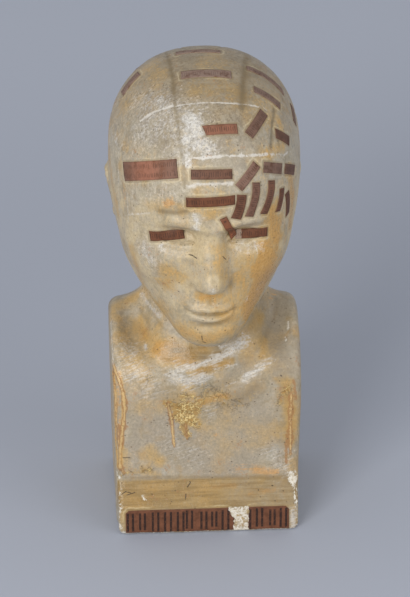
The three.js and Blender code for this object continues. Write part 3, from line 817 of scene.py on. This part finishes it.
def mark_plaster(points):
    """Cover of each kind of mark at each point, by name."""
    across, depth, height = points.T
    bend = bending(points)
    # the nose tip gets a painted highlight
    nose_tip = np.linalg.norm(points - from_head(0, -0.512, 0.34), axis=1)
    splay_middle = PLINTH_HEIGHT + SPLAY_HEIGHT / 2
    splay = fade(np.abs(height - splay_middle), SPLAY_HEIGHT / 2, SPLAY_HEIGHT / 2 + 2.5)
    splay *= depth < 1 - CHEST_FRONT
    plinth_face = (height < PLINTH_HEIGHT) * (depth < 1 - PLINTH_FRONT)
    torn = plinth_face * (height < TORN_TOP) * (across > TORN_LEFT) * (across < TORN_RIGHT)
    rubbed = noise(points + 130, 21) + 0.5 * noise(points + 30, 7)
    rubbed = np.clip(0.8 * rubbed - 0.25, 0, 0.5) * fade(-depth, -25, 0)
    covers = {
        "groove": [
            painted(points, GROOVES, fray=0.2),
            painted(points, HIDDEN_GROOVES, fray=0.2, place=round_head),
        ],
        "pale_line": [painted(points, PALE_LINES, fray=0.5)],
        # wear, and painted highlights on the nose tip, the left forehead and the chest
        "wear_and_highlight": [painted(points, PALE_WEAR_AND_HIGHLIGHTS), 0.9 * bell(nose_tip, 3.0), rubbed],
        "ochre": [
            painted(points, OCHRE),
            (0.9 - 0.3 * fade(-across, -30, 5)) * splay,
            0.7 * plinth_face,
            0.3 + 0.35 * noise(points + 90, 24),
        ],
        "stain": [painted(points, STAINS)],
        # old grey, with painted shade on the neck's right side
        "grey": [painted(points, GREY_AND_SHADE)],
        # dirt marks, and darker colour in the hollows
        "dirt": [painted(points, DIRT), np.clip(-bend - 0.14, 0, 0.5)],
        "crackle": [painted(points, CRACKLE)],
        "drip": [painted(points, DRIPS, fray=0.25)],
        "chip": [painted(points, CHIPS), 0.62 * torn],
        "edge": [np.clip(bend - 0.5, 0, 1) * (height < 0.93 * SHOULDER_HEIGHT)],
        # varnish, with painted shade under the chin and at the chest's top right
        "varnish": [splay, 0.35 * plinth_face * (1 - torn), 0.6 * painted(points, VARNISH_AND_SHADE)],
    }
    for name, marks in BEHIND.items():
        covers[name].append(painted(points, marks, place=round_block))
    return {name: np.maximum.reduce(layers) for name, layers in covers.items()}


def relief(points, marks):
    """Height of the surface, with its wear, over the smooth form."""
    height = 0.22 * noise(points, 31) + 0.10 * noise(points, 9) + 0.04 * noise(points, 3.4)
    height -= 0.6 * marks["groove"]
    height -= 0.22 * marks["pale_line"]
    height += 0.22 * marks["drip"]
    height -= 0.16 * marks["wear_and_highlight"] * (0.5 + 0.5 * noise(points * (1, 1, 0.4), 2.4))
    bitten = np.clip(0.5 + 0.9 * noise(points + 20, 3.1), 0, 1)
    height -= 0.7 * np.clip(marks["chip"] - 0.25, 0, 1) * (0.4 + bitten)
    worn_edge = np.clip(marks["edge"], 0, 0.8) * np.clip(noise(points + 70, 4.2) - 0.1, 0, 1)
    return height - 1.1 * worn_edge


# Making meshes

def new_mesh(name, vertices, faces, material):
    mesh = bpy.data.meshes.new(name)
    mesh.from_pydata(vertices * MM, [], faces, shade_flat=False)
    mesh.materials.append(material)
    piece = bpy.data.objects.new(name, mesh)
    bpy.context.scene.collection.objects.link(piece)
    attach(piece, "root")
    return piece


def set_attribute(piece, name, values):
    attribute = piece.data.attributes.new(name, "FLOAT", "POINT")
    attribute.data.foreach_set("value", np.asarray(values, np.float32))


# Materials

def display(red, green, blue):
    """The shader's colour for display values from 0 to 255."""
    return tuple(((v / 255 + 0.055) / 1.055) ** 2.4 for v in (red, green, blue)) + (1.0,)


class Value:
    """What a material's node gives, with plain arithmetic."""

    def __init__(self, shader, socket):
        self.shader = shader
        self.socket = socket

    def math(self, operation, other=0.0):
        return self.shader.value("ShaderNodeMath", {0: self, 1: other}, operation=operation)

    def __add__(self, other):
        return self.math("ADD", other)

    def __sub__(self, other):
        return self.math("SUBTRACT", other)

    def __mul__(self, other):
        return self.math("MULTIPLY", other)

    def __abs__(self):
        return self.math("ABSOLUTE")

    def share(self, low, high):
        """0 below low, 1 above high, smooth between."""
        inputs = {"Value": self, "From Min": low, "From Max": high}
        return self.shader.value("ShaderNodeMapRange", inputs, interpolation_type="SMOOTHSTEP")


class Shader:
    """One material's nodes, and its colour, height and roughness so far."""

    def __init__(self, name, ground, roughness):
        self.material = bpy.data.materials.new(name)
        self.material.use_nodes = True
        self.tree = self.material.node_tree
        self.tree.nodes.clear()
        self.place = self.value("ShaderNodeTexCoord", {}, "Object")
        self.colour = display(*ground)
        self.height = None
        self.roughness = roughness

    def node(self, kind, inputs, **settings):
        made = self.tree.nodes.new(kind)
        for name, value in settings.items():
            setattr(made, name, value)
        for key, value in inputs.items():
            if isinstance(value, Value):
                self.tree.links.new(value.socket, made.inputs[key])
            else:
                made.inputs[key].default_value = value
        return made

    def value(self, kind, inputs, output=0, **settings):
        return Value(self, self.node(kind, inputs, **settings).outputs[output])

    def attribute(self, name):
        return self.value("ShaderNodeAttribute", {}, "Fac", attribute_name=name)

    def axis(self, index):
        return self.value("ShaderNodeSeparateXYZ", {0: self.place}, index)

    def noise(self, size, detail=3.0, rough=0.55, stretch=None, lean=0):
        """Noise around 0.5, its features stretched along the leaning axes."""
        place = self.place
        if stretch:
            inputs = {"Vector": place, "Rotation": (0, math.radians(lean), 0), "Scale": stretch}
            place = self.value("ShaderNodeMapping", inputs, vector_type="TEXTURE")
        inputs = {"Vector": place, "Scale": 1 / (size * MM), "Detail": detail, "Roughness": rough}
        return self.value("ShaderNodeTexNoise", inputs)

    def cells(self, size):
        """Distance from the middles of scattered cells."""
        inputs = {"Vector": self.place, "Scale": 1 / (size * MM)}
        return self.value("ShaderNodeTexVoronoi", inputs, "Distance", feature="F1")

    def vector(self, operation, inputs, output=0):
        return self.value("ShaderNodeVectorMath", inputs, output, operation=operation)

    def scratch(self, half_width, a, b):
        """1 on a line from a to b, 0 off it."""
        run = b - a
        off = self.vector("SUBTRACT", {0: self.place, 1: tuple(a)})
        along = self.vector("DOT_PRODUCT", {0: off, 1: tuple(run / (run @ run))}, "Value")
        along = self.value("ShaderNodeClamp", {0: along})
        foot = self.vector("SCALE", {0: tuple(run), "Scale": along})
        gap = self.vector("DISTANCE", {0: off, 1: foot}, "Value")
        return gap.share(1.3 * half_width * MM, 0.6 * half_width * MM)

    def strokes(self, pitch, apart, thickness, low, high, spaces):
        """1 on a row of upright strokes of uneven height, each twice where apart is above 0."""
        place, across = self.attribute("along") * (1 / pitch), self.attribute("across")
        number, row = place.math("FLOOR"), across.math("FLOOR")
        seed = self.value("ShaderNodeCombineXYZ", {0: number, 1: row, 2: 0.5})
        chance = self.value("ShaderNodeTexWhiteNoise", {"Vector": seed}, "Color")
        chance = self.node("ShaderNodeSeparateColor", {0: chance})
        red, green, blue = (Value(self, socket) for socket in chance.outputs)
        off = abs(place - number - 0.5 + (green - 0.5) * 0.3)
        off = abs(off * pitch - (red * 0.4 + 0.8) * apart)
        upright = off.share(thickness / 2 + 0.1, thickness / 2 - 0.1)
        up = abs(across - row - 0.5 + (blue - 0.5) * 0.1)
        tall = (red * (high - low) + low) * 0.5
        return upright * (up - tall).share(0.04, -0.02) * blue.math("GREATER_THAN", spaces)

    def paint(self, share, over, blend="MIX"):
        """Lays display values, or a grey that is a Value, over the colour so far."""
        over = display(*over) if isinstance(over, tuple) else over
        inputs = {0: share, 6: self.colour, 7: over}
        self.colour = self.value("ShaderNodeMix", inputs, 2, data_type="RGBA", blend_type=blend)

    def lift(self, by):
        """Adds to the height so far, which may be less than 0."""
        self.height = self.height + by if self.height else by

    def finish(self, depth, specular):
        inputs = {"Height": self.height, "Distance": depth, "Strength": 1.0}
        bump = self.value("ShaderNodeBump", inputs)
        surface = self.value("ShaderNodeBsdfPrincipled", {
            "Base Color": self.colour,
            "Roughness": self.roughness,
            "Normal": bump,
            "Specular IOR Level": specular,
        })
        self.node("ShaderNodeOutputMaterial", {"Surface": surface})
        return self.material


# Heights over which a look of the plaster comes in, in metres
ON_HEAD = (120 * MM, 165 * MM)
ON_CROWN = (215 * MM, 258 * MM)
UNDER_CROWN = (218 * MM, 194 * MM)


def plaster_noises(s):
    """What the layers of the plaster share: noises, shares of height and broad marks."""
    n = types.SimpleNamespace()
    n.patch, n.cloud, n.blot = s.noise(9, 3), s.noise(13, 3), s.noise(3.6, 4, 0.6)
    n.grain, n.fine = s.noise(1.4, 4, 0.65), s.noise(0.5, 3)
    n.speckle = n.blot * 0.9 + n.grain * 0.8 + n.fine * 0.5 - 1.1
    n.uneven = n.grain - 0.5
    n.on_head = s.axis(2).share(*ON_HEAD)
    n.brushed = s.noise(1.4, 4, 0.6, (1, 1, 5)) - 0.5
    n.streaks = n.brushed * (n.on_head * 0.75 + 0.25)
    n.varnished, n.rubbed = s.attribute("varnish"), s.attribute("wear_and_highlight")
    n.plain = n.varnished * -0.75 + 1.0
    return n


def paint_ground(s, n):
    """Bare plaster, old grey with some painted shade, the lighter face and the dusty crown."""
    broad = s.noise(24, 2)
    on_face = n.on_head * s.axis(2).share(*UNDER_CROWN)
    greyed = s.axis(2).share(*ON_CROWN)
    s.paint(n.patch.share(0.36, 0.62), (180, 166, 142))
    s.paint(broad.share(0.45, 0.65) * 0.6, (164, 152, 136))
    s.paint(n.cloud.share(0.50, 0.66) * 0.75, (186, 154, 104))
    s.paint(n.cloud.share(0.44, 0.32) * 0.7, (178, 171, 156))
    s.paint(n.blot.share(0.52, 0.66) * 0.45, (198, 183, 155))
    s.paint(n.blot.share(0.46, 0.34) * 0.45, (152, 136, 108))
    # old grey, with painted shade on the neck's right side
    s.paint((s.attribute("grey") + n.speckle * 0.9).share(0.2, 0.8) * 0.75, (161, 149, 131))
    s.paint(n.on_head * n.patch.share(0.35, 0.6) * 0.5, (190, 180, 158))
    s.paint(on_face * n.cloud.share(0.62, 0.36) * 0.75, (208, 186, 144))
    s.paint(greyed * 0.45, (148, 132, 110))
    s.paint(greyed * (n.blot + n.streaks * 1.5).share(0.46, 0.62) * 0.55, (116, 100, 80))
    s.paint(greyed * (n.blot + n.grain * 0.5).share(0.66, 0.56) * 0.35, (178, 162, 134))
    s.lift(n.patch * 0.7 + n.blot * 0.6 + n.grain * 0.45 + n.fine * 0.14 + n.streaks * 0.12)


def paint_patina(s, n):
    """Ochre, stains, and varnish with some painted shade."""
    ochre = s.attribute("ochre") + n.speckle * (n.on_head * 0.35 + 0.3) + n.streaks
    ochre = ochre + (n.cloud - 0.5) * 0.5
    s.paint(ochre.share(0.30, 0.95) * 0.85, (190, 158, 104))
    s.paint(ochre.share(0.75, 1.25) * 0.85, (194, 147, 78))
    level = s.noise(1.6, 3, 0.6, (12, 1, 1))
    stain = s.attribute("stain") + n.speckle + (level - 0.5) * 1.6
    s.paint(stain.share(0.3, 1.1) * 0.75, (202, 152, 92))
    # varnish, with painted shade under the chin and at the chest's top right
    varnish = n.varnished * ((level * 1.1 + n.patch * 0.5).share(0.60, 1.0) * 0.5 + 0.5)
    s.paint(varnish * 0.8, (130, 105, 62))
    s.roughness = ochre.share(0.3, 1.0) * -0.14 + s.roughness


def paint_wear(s, n):
    """White places of wear and painted highlight, light flecks, dark specks and the pale drawn
    lines.
    """
    wiped = s.noise(1.0, 4, 0.6, (7, 1, 1), -22) - 0.5
    # wear, with painted highlights
    wear_and_highlight = n.rubbed + (n.speckle * (n.on_head * 0.5 + 0.5) + n.brushed * n.on_head * 1.6)
    wear_and_highlight = wear_and_highlight + wiped * (n.on_head * -1.2 + 2.0)
    s.paint(wear_and_highlight.share(0.25, 1.1) * 0.8, (200, 195, 187))
    s.paint(wear_and_highlight.share(0.9, 1.6) * 0.7, (218, 215, 209))
    light = (n.grain * 0.6 + n.fine * 0.4).share(0.36, 0.64)
    s.paint((n.rubbed * 0.10 + 0.13) * n.plain, light, "OVERLAY")
    s.paint(n.blot.share(0.3, 0.7) * 0.08, n.streaks.share(-0.1, 0.1), "OVERLAY")
    flecks = (n.grain + n.rubbed * 0.10).share(0.62, 0.70) * n.plain * n.patch.share(0.4, 0.6)
    s.paint(flecks * 0.5, (222, 208, 182))
    sunk = n.grain.share(0.38, 0.30) * n.plain * n.blot.share(0.35, 0.55)
    s.paint(sunk * 0.45, (126, 110, 86))
    specks = s.cells(1.7).share(0.22, 0.10) * (n.blot + n.rubbed * 0.15).share(0.5, 0.6)
    s.paint(specks * 0.55, (112, 102, 92))
    line = s.attribute("pale_line") + n.uneven * 0.8
    s.paint(line.share(0.35, 0.9) * 0.75, (220, 214, 204))
    s.lift(wear_and_highlight * -0.15 - specks * 0.15)


def paint_crackle(s, n):
    """Crackled varnish with its ridges and dark splits, and the drips."""
    crackled = s.attribute("crackle")
    crackle = (crackled + n.speckle * 1.6).share(0.3, 0.8)
    ridges = crackle * abs(s.noise(3.4, 3, 0.6) - 0.5).share(0.055, 0.02)
    s.paint(crackle * 0.8, (170, 132, 70))
    s.paint(ridges * 0.85, (230, 204, 142))
    split = abs(s.noise(4.6, 4, 0.6) - 0.5).share(0.016, 0.006) * crackled.share(0.12, 0.3)
    s.paint(split * 0.4, (96, 80, 60))
    drip = s.attribute("drip") + n.uneven * 1.2
    s.paint((drip + (n.patch - 0.5) * 1.6).share(0.25, 0.5) * 0.75, (158, 114, 72))
    drip = drip.share(0.6, 1.0)
    s.paint(drip * 0.8, (212, 180, 124))
    s.lift(ridges * 0.7 - split * 0.4 + drip * 0.4)


def paint_dirt(s, n):
    """Dark grooves, the glue round the labels, dirt marks, darker hollows and small pocks."""
    groove = s.attribute("groove") * (n.blot * 1.1 + 0.35)
    s.paint(groove.share(0.15, 0.95) * 0.8, (124, 110, 84))
    glue = s.attribute("glue") + n.uneven * 0.5
    halo = glue.share(0.15, 0.35) * glue.share(0.7, 0.5) * n.cloud.share(0.48, 0.60)
    s.paint(glue.share(0.45, 0.9) * 0.45, (142, 118, 82))
    s.paint(halo * 0.35, (220, 204, 164))
    # dirt marks, and darker colour in the hollows
    dirt = s.attribute("dirt") * (n.grain * 1.2 + 0.4)
    s.paint(dirt.share(0.1, 0.9) * 0.65, (124, 102, 66))
    pocked = s.cells(3.4).share(0.14, 0.07) * n.patch.share(0.42, 0.52)
    s.paint(pocked * 0.7, (104, 86, 64))
    s.lift(pocked * -0.6)


def paint_damage(s, n):
    """Bare edges and chips, and short black scratches."""
    edge = s.attribute("edge") + n.uneven * 1.6 + (n.patch - 0.5) * 1.6
    chip = s.attribute("chip") + n.speckle * 1.3
    bare = chip.share(0.45, 0.65).math("MAXIMUM", edge.share(0.5, 0.75))
    s.paint(bare * 0.85, (222, 214, 198))
    s.paint(bare * 0.25, (n.grain * 0.7 + n.fine * 0.3).share(0.4, 0.6), "OVERLAY")
    s.roughness = s.roughness + bare * 0.2 + n.uneven * 0.25
    scratches = []
    for half_width, *line in SCRATCHES:
        path = under_pixels(tuple(line), spacing=math.inf) * MM
        scratches += [s.scratch(half_width, a, b) for a, b in zip(path[:-1], path[1:])]
    black = functools.reduce(lambda a, b: a.math("MAXIMUM", b), scratches)
    black = black * (n.fine + n.grain).share(0.78, 0.98)
    s.paint(black * 0.85, (66, 58, 50))
    s.lift(bare * -0.4 - black * 0.6)


def plaster_material():
    s = Shader("plaster", ground=(158, 146, 123), roughness=0.43)
    n = plaster_noises(s)
    for paint in paint_ground, paint_patina, paint_wear, paint_crackle, paint_dirt, paint_damage:
        paint(s, n)
    return s.finish(depth=0.35 * MM, specular=0.45)


def paper_material():
    s = Shader("label_paper", ground=(90, 56, 38), roughness=0.5)
    patch, grain, fine = s.noise(4), s.noise(1.1, 3), s.noise(0.4, 2)
    greyed, plate = s.attribute("dust_and_sheen"), s.attribute("plate_print")
    tone = s.attribute("tone") + (patch - 0.5) * 0.9 + (grain - 0.5) * 0.5
    s.paint(tone.share(0.0, 0.6), (122, 76, 52))
    s.paint(tone.share(0.6, 1.2), (174, 102, 70))
    s.paint(s.attribute("rim") * grain.share(0.3, 0.7) * 0.4, (80, 52, 38))
    # grey dusting and painted sheen, most on the labels that face up
    dust_and_sheen = greyed * (patch + grain * 0.5).share(0.4, 0.85)
    s.paint(dust_and_sheen * 0.85, (144, 122, 110))
    s.paint((s.attribute("bald") + (grain - 0.5)).share(0.4, 0.6), (152, 130, 112))
    small = s.strokes(pitch=1.15, apart=0.0, thickness=0.42, low=0.30, high=0.55, spaces=0.11)
    tall = s.strokes(pitch=6.6, apart=1.4, thickness=1.25, low=0.62, high=0.88, spaces=0.0)
    ink = (s.attribute("print") * small + plate * tall) * (fine + grain * 0.9).share(0.6, 0.95)
    s.paint(ink * (plate * 0.35 + 0.6 - greyed * 0.3), (40, 30, 28))
    s.lift(patch * 0.5 + grain * 0.2 + fine * 0.1 - ink * 0.3)
    s.roughness = (grain - 0.5) * 0.2 + s.roughness + dust_and_sheen * 0.2
    return s.finish(depth=0.12 * MM, specular=0.25)


def floor_material():
    s = Shader("floor", ground=(172, 177, 190), roughness=0.85)
    # painted shade: darker in a band about 0.24 m behind the object, lighter nearer and farther
    s.paint(abs(s.axis(1) - 0.24).share(0.02, 0.5), (183, 188, 201))
    s.lift(s.noise(1.2))
    return s.finish(depth=0.02 * MM, specular=0.2)


# Pieces

GLUE_WIDTH = 1.5                  # reach of the glue round a label


def make_bust(material, slips):
    vertices, quads = surface_net(bust_axes())
    vertices = relax(settle(vertices), quads, 3)
    marks = mark_plaster(vertices)
    vertices = vertices + unit(slope_of(vertices)) * relief(vertices, marks)[:, None]
    piece = new_mesh("plaster_bust", vertices, quads, material)
    for name, cover in marks.items():
        set_attribute(piece, name, cover)
    rims = [(GLUE_WIDTH, 1.0, *slip["foot"][slip["attributes"]["rim"] > 0.9]) for slip in slips]
    set_attribute(piece, "glue", painted(vertices, rims, fray=0.3, place=np.array))
    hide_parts("bust")


LABEL_GRID = 0.6                  # spacing of a label's facets
PAPER_UNDER = -0.12               # a label's two faces, from the plaster
PAPER_OVER = 0.24
PLATE_RIM = 0.8                   # bare plaster under the plate's label
CLIPPED_CORNER = 1.8              # cut off the plate label's outer corners
TORN_SLANT = 3.4                  # how far its tear leans
DROP_HEIGHT = 12.0                # from which a label is dropped on the plaster

PLAIN_LOOK = {"rows": 1, "bow": 0, "slant": 0, "longer": 0, "glow": 0, "bald_end": 0}
# What differs on the labels in the photo: bow, slant and longer in millimetres
LABEL_LOOKS = {
    "label_crown_back": dict(tone=0.3, dust_and_sheen=1.3),
    "label_crown_front": dict(tone=0.3, dust_and_sheen=1.1),
    "label_right_crown": dict(tone=0.3, dust_and_sheen=0.95),
    "label_left_crown_long": dict(tone=0.2, dust_and_sheen=0.9),
    "label_left_crown_short": dict(tone=0.1, dust_and_sheen=0.8),
    "label_forehead_slant": dict(tone=0.15, dust_and_sheen=0.45),
    "label_forehead_top": dict(tone=0.75, dust_and_sheen=0.3, slant=1.6),
    "label_left_forehead": dict(tone=0.1, dust_and_sheen=0.2),
    "label_left_side": dict(tone=0.1, dust_and_sheen=0.7),
    "label_right_forehead_wide": dict(tone=0.95, dust_and_sheen=0.42, rows=2, glow=0.7),
    "label_forehead_middle": dict(tone=0.2, dust_and_sheen=0.2),
    "label_forehead_low": dict(tone=0.3, dust_and_sheen=0.0, longer=0.6),
    "label_brow_slant": dict(tone=0.4, dust_and_sheen=0.6),
    "label_brow_upper": dict(tone=0.15, dust_and_sheen=0.5),
    "label_brow_outer": dict(tone=0.1, dust_and_sheen=0.3),
    "label_brow_1": dict(tone=0.25, dust_and_sheen=0.1, bow=-0.8),
    "label_brow_2": dict(tone=0.3, dust_and_sheen=0.35, bow=-1.3),
    "label_brow_3": dict(tone=0.3, dust_and_sheen=0.15, bow=-1.5),
    "label_brow_4": dict(tone=0.3, dust_and_sheen=0.05, bow=-0.9),
    "label_brow_5": dict(tone=0.2, dust_and_sheen=0.05, bow=-1.0),
    "label_nose_side": dict(tone=0.6, dust_and_sheen=0.0, bow=-0.6),
    "label_left_eye": dict(tone=0.25, dust_and_sheen=0.0, bald_end=0.22),
    "label_right_eye": dict(tone=0.25, dust_and_sheen=0.0),
    "plate_label_left": dict(tone=0.3, dust_and_sheen=0.05),
    "plate_label_right": dict(tone=0.3, dust_and_sheen=0.05),
}


def label_frame(node):
    """Middle, long, cross and outward directions, length and width of a label's solid."""
    points = np.array([v.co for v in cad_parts[node].data.vertices], float) / MM
    middle = points.mean(0)
    if "plate" in node:
        normal = np.array([0.0, -1.0, 0.0])
        long = np.array([1.0, 0.0, 0.0])
    else:
        normal = unit(slope_of(settle(middle[None], passes=6, reach=5.0)))[0]
        level = points - middle
        level = level - (level @ normal)[:, None] * normal
        long = np.linalg.svd(level, full_matrices=False)[2][0]
    if long @ (1.0, 0.0, 0.35) < 0:
        long = -long
    cross = np.cross(normal, long)
    u, v = (points - middle) @ long, (points - middle) @ cross
    middle = middle + long * (u.max() + u.min()) / 2 + cross * (v.max() + v.min()) / 2
    return middle, long, cross, normal, np.ptp(u), np.ptp(v)


def label_ends(node, look, v, length, width, rng):
    """Where a label starts and ends along its length, for each v across it."""
    lean = rng.uniform(-0.03, 0.03, 2) * width
    left = -length / 2 + lean[0] * v / width - look["slant"] * (v / width - 0.2)
    right = length / 2 + lean[1] * v / width + look["longer"]
    ragged = 0.35 * np.interp(v, np.linspace(-width, width, 41), rng.uniform(-1, 1, 41))
    clipped = np.maximum(v - width / 2 + CLIPPED_CORNER, 0)
    if node == "plate_label_left":
        torn = TORN_SLANT * np.clip((v / width - 0.05) / 0.45, 0, 1)
        return left + clipped, right - torn + 1.6 * ragged
    if node == "plate_label_right":
        return left + 1.2 * ragged, right - clipped
    return left, right


def strip_faces(along, across):
    """Faces of two grids of vertices, lower and upper, closed into one thin solid."""
    row, layer = along + 1, (along + 1) * (across + 1)
    j, i = np.mgrid[0:across, 0:along]
    a = (j * row + i).ravel()
    under = np.stack([a, a + row, a + row + 1, a + 1], 1)
    over = np.stack([a, a + 1, a + row + 1, a + row], 1) + layer
    i, j = np.arange(along), np.arange(across)
    rims = [
        (i, i + 1),
        (across * row + i + 1, across * row + i),
        ((j + 1) * row, j * row),
        (j * row + along, (j + 1) * row + along),
    ]
    walls = [np.stack([a, b, b + layer, a + layer], 1) for a, b in rims]
    return np.concatenate([under, over, *walls])


def cut_label(node, seed):
    """The flat slip of one label over its solid, and its attributes."""
    rng = np.random.default_rng(seed)
    look = {"tone": rng.uniform(0.1, 0.4), "dust_and_sheen": rng.uniform(0.1, 0.5), **PLAIN_LOOK}
    look.update(LABEL_LOOKS.get(node, {}))
    middle, long, cross, normal, length, width = label_frame(node)
    along, across = math.ceil(length / LABEL_GRID), math.ceil(width / LABEL_GRID)
    plate = "plate" in node
    v = np.linspace(PLATE_RIM * plate - width / 2, width / 2, across + 1).repeat(along + 1)
    left, right = label_ends(node, look, v, length, width, rng)
    u = left + (right - left) * np.tile(np.linspace(0, 1, along + 1), across + 1)
    bow = look["bow"] * (1 - (2 * u / length) ** 2)
    bald_end = look["bald_end"] * length
    even = np.ones(len(u))
    return {
        "node": node,
        "flat": middle + u[:, None] * long + (v + bow)[:, None] * cross,
        "normal": normal,
        "shape": (along, across),
        "attributes": {
            "along": u + 100 + 37 * seed,     # so that each label has strokes of its own
            "across": (v / width + 0.5) * look["rows"],
            "print": even * (not plate),
            "plate_print": even * plate,
            "rim": bell(np.minimum(np.minimum(u - left, right - u), width / 2 - np.abs(v)), 0.5),
            "tone": look["tone"] - look["glow"] * (2 * np.abs(u) / length) ** 2,
            # grey dusting and painted sheen
            "dust_and_sheen": even * look["dust_and_sheen"],
            "bald": fade(u - left, 0.6 * bald_end, 1.1 * bald_end + 0.1) * (bald_end > 0),
        },
    }


def bridge(heights, shape, passes=30):
    """Paper's heights over the plaster's: stiff enough to span what is lower."""
    ground = heights.reshape(shape[1] + 1, shape[0] + 1)
    paper = ground.copy()
    for _ in range(passes):
        wide = np.pad(paper, 1, mode="reflect", reflect_type="odd")
        around = wide[:-2, 1:-1] + wide[2:, 1:-1] + wide[1:-1, :-2] + wide[1:-1, 2:]
        paper = np.maximum(ground, around / 4)
    return paper.ravel()


def cut_labels():
    """Every label's slip, with its place on the plaster."""
    slips = [
        cut_label(node, seed)
        for seed, node in enumerate(sorted(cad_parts)) if node != "bust"
    ]
    flat = np.concatenate([slip["flat"] for slip in slips])
    normals = np.concatenate([np.tile(slip["normal"], (len(slip["flat"]), 1)) for slip in slips])
    foot, _ = drop(flat + DROP_HEIGHT * normals, -normals, steps=40)
    foot += unit(slope_of(foot)) * relief(foot, mark_plaster(foot))[:, None]
    ends = np.cumsum([len(slip["flat"]) for slip in slips])[:-1]
    for slip, place in zip(slips, np.split(foot, ends)):
        slip["foot"] = place
    return slips


def make_label(slip, material):
    """Lays a slip on the plaster as a thin sheet of paper."""
    node, flat, normal, shape = (slip[key] for key in ("node", "flat", "normal", "shape"))
    foot = flat + bridge((slip["foot"] - flat) @ normal, shape)[:, None] * normal
    out = unit(slope_of(foot))
    vertices = np.concatenate([foot + out * PAPER_UNDER, foot + out * PAPER_OVER])
    piece = new_mesh(f"{node}_paper", vertices, strip_faces(*shape), material)
    for name, values in slip["attributes"].items():
        set_attribute(piece, name, np.tile(values, 2))
    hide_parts(node)


# Floor, lights and camera

def make_floor():
    mesh = bpy.data.meshes.new("floor")
    half = 8.0
    corners = [(-half, -half, 0), (half, -half, 0), (half, half, 0), (-half, half, 0)]
    mesh.from_pydata(corners, [], [(0, 1, 2, 3)])
    mesh.materials.append(floor_material())
    floor = bpy.data.objects.new("floor", mesh)
    bpy.context.scene.collection.objects.link(floor)


LIGHT_DISTANCE = 3.2              # metres from the middle of the object


def area_light(name, azimuth, elevation, size, power, tint):
    """A square light that looks at the middle of the object."""
    light = bpy.data.lights.new(name, "AREA")
    light.size = size
    light.energy = power
    light.color = tint
    lamp = bpy.data.objects.new(name, light)
    back = Vector(heading(math.radians(azimuth), math.radians(elevation)))
    lamp.location = Vector(CAMERA_AIM * MM) + back * LIGHT_DISTANCE
    lamp.rotation_euler = back.to_track_quat("Z", "Y").to_euler()
    bpy.context.scene.collection.objects.link(lamp)


def make_studio():
    world = bpy.data.worlds.new("studio")
    world.use_nodes = True
    background = world.node_tree.nodes["Background"]
    background.inputs["Color"].default_value = (0.95, 0.97, 1.0, 1.0)
    background.inputs["Strength"].default_value = 0.52
    bpy.context.scene.world = world
    area_light("key", azimuth=-30, elevation=21, size=1.4, power=64.0, tint=(1.0, 0.99, 0.96))
    area_light("fill", azimuth=50, elevation=18, size=2.2, power=24.0, tint=(0.98, 0.99, 1.0))
    bpy.context.scene.view_settings.view_transform = "Standard"


def make_camera():
    camera = bpy.data.cameras.new("camera")
    camera.sensor_width = 36.0
    camera.lens = camera.sensor_width * FOCAL_PIXELS / PICTURE_HEIGHT
    camera.shift_x = (PICTURE_WIDTH / 2 - MIDDLE_PIXEL[0]) / PICTURE_HEIGHT
    camera.shift_y = (MIDDLE_PIXEL[1] - PICTURE_HEIGHT / 2) / PICTURE_HEIGHT
    camera.clip_start = 0.01
    camera.clip_end = 50.0
    eye = bpy.data.objects.new("camera", camera)
    _, _, back = camera_axes()
    eye.location = Vector((CAMERA_AIM + back * CAMERA_DISTANCE) * MM)
    eye.rotation_euler = Vector(back).to_track_quat("Z", "Y").to_euler()
    bpy.context.scene.collection.objects.link(eye)
    bpy.context.scene.camera = eye


make_camera()
make_studio()
make_floor()
slips = cut_labels()
make_bust(plaster_material(), slips)
paper = paper_material()
for slip in slips:
    make_label(slip, paper)
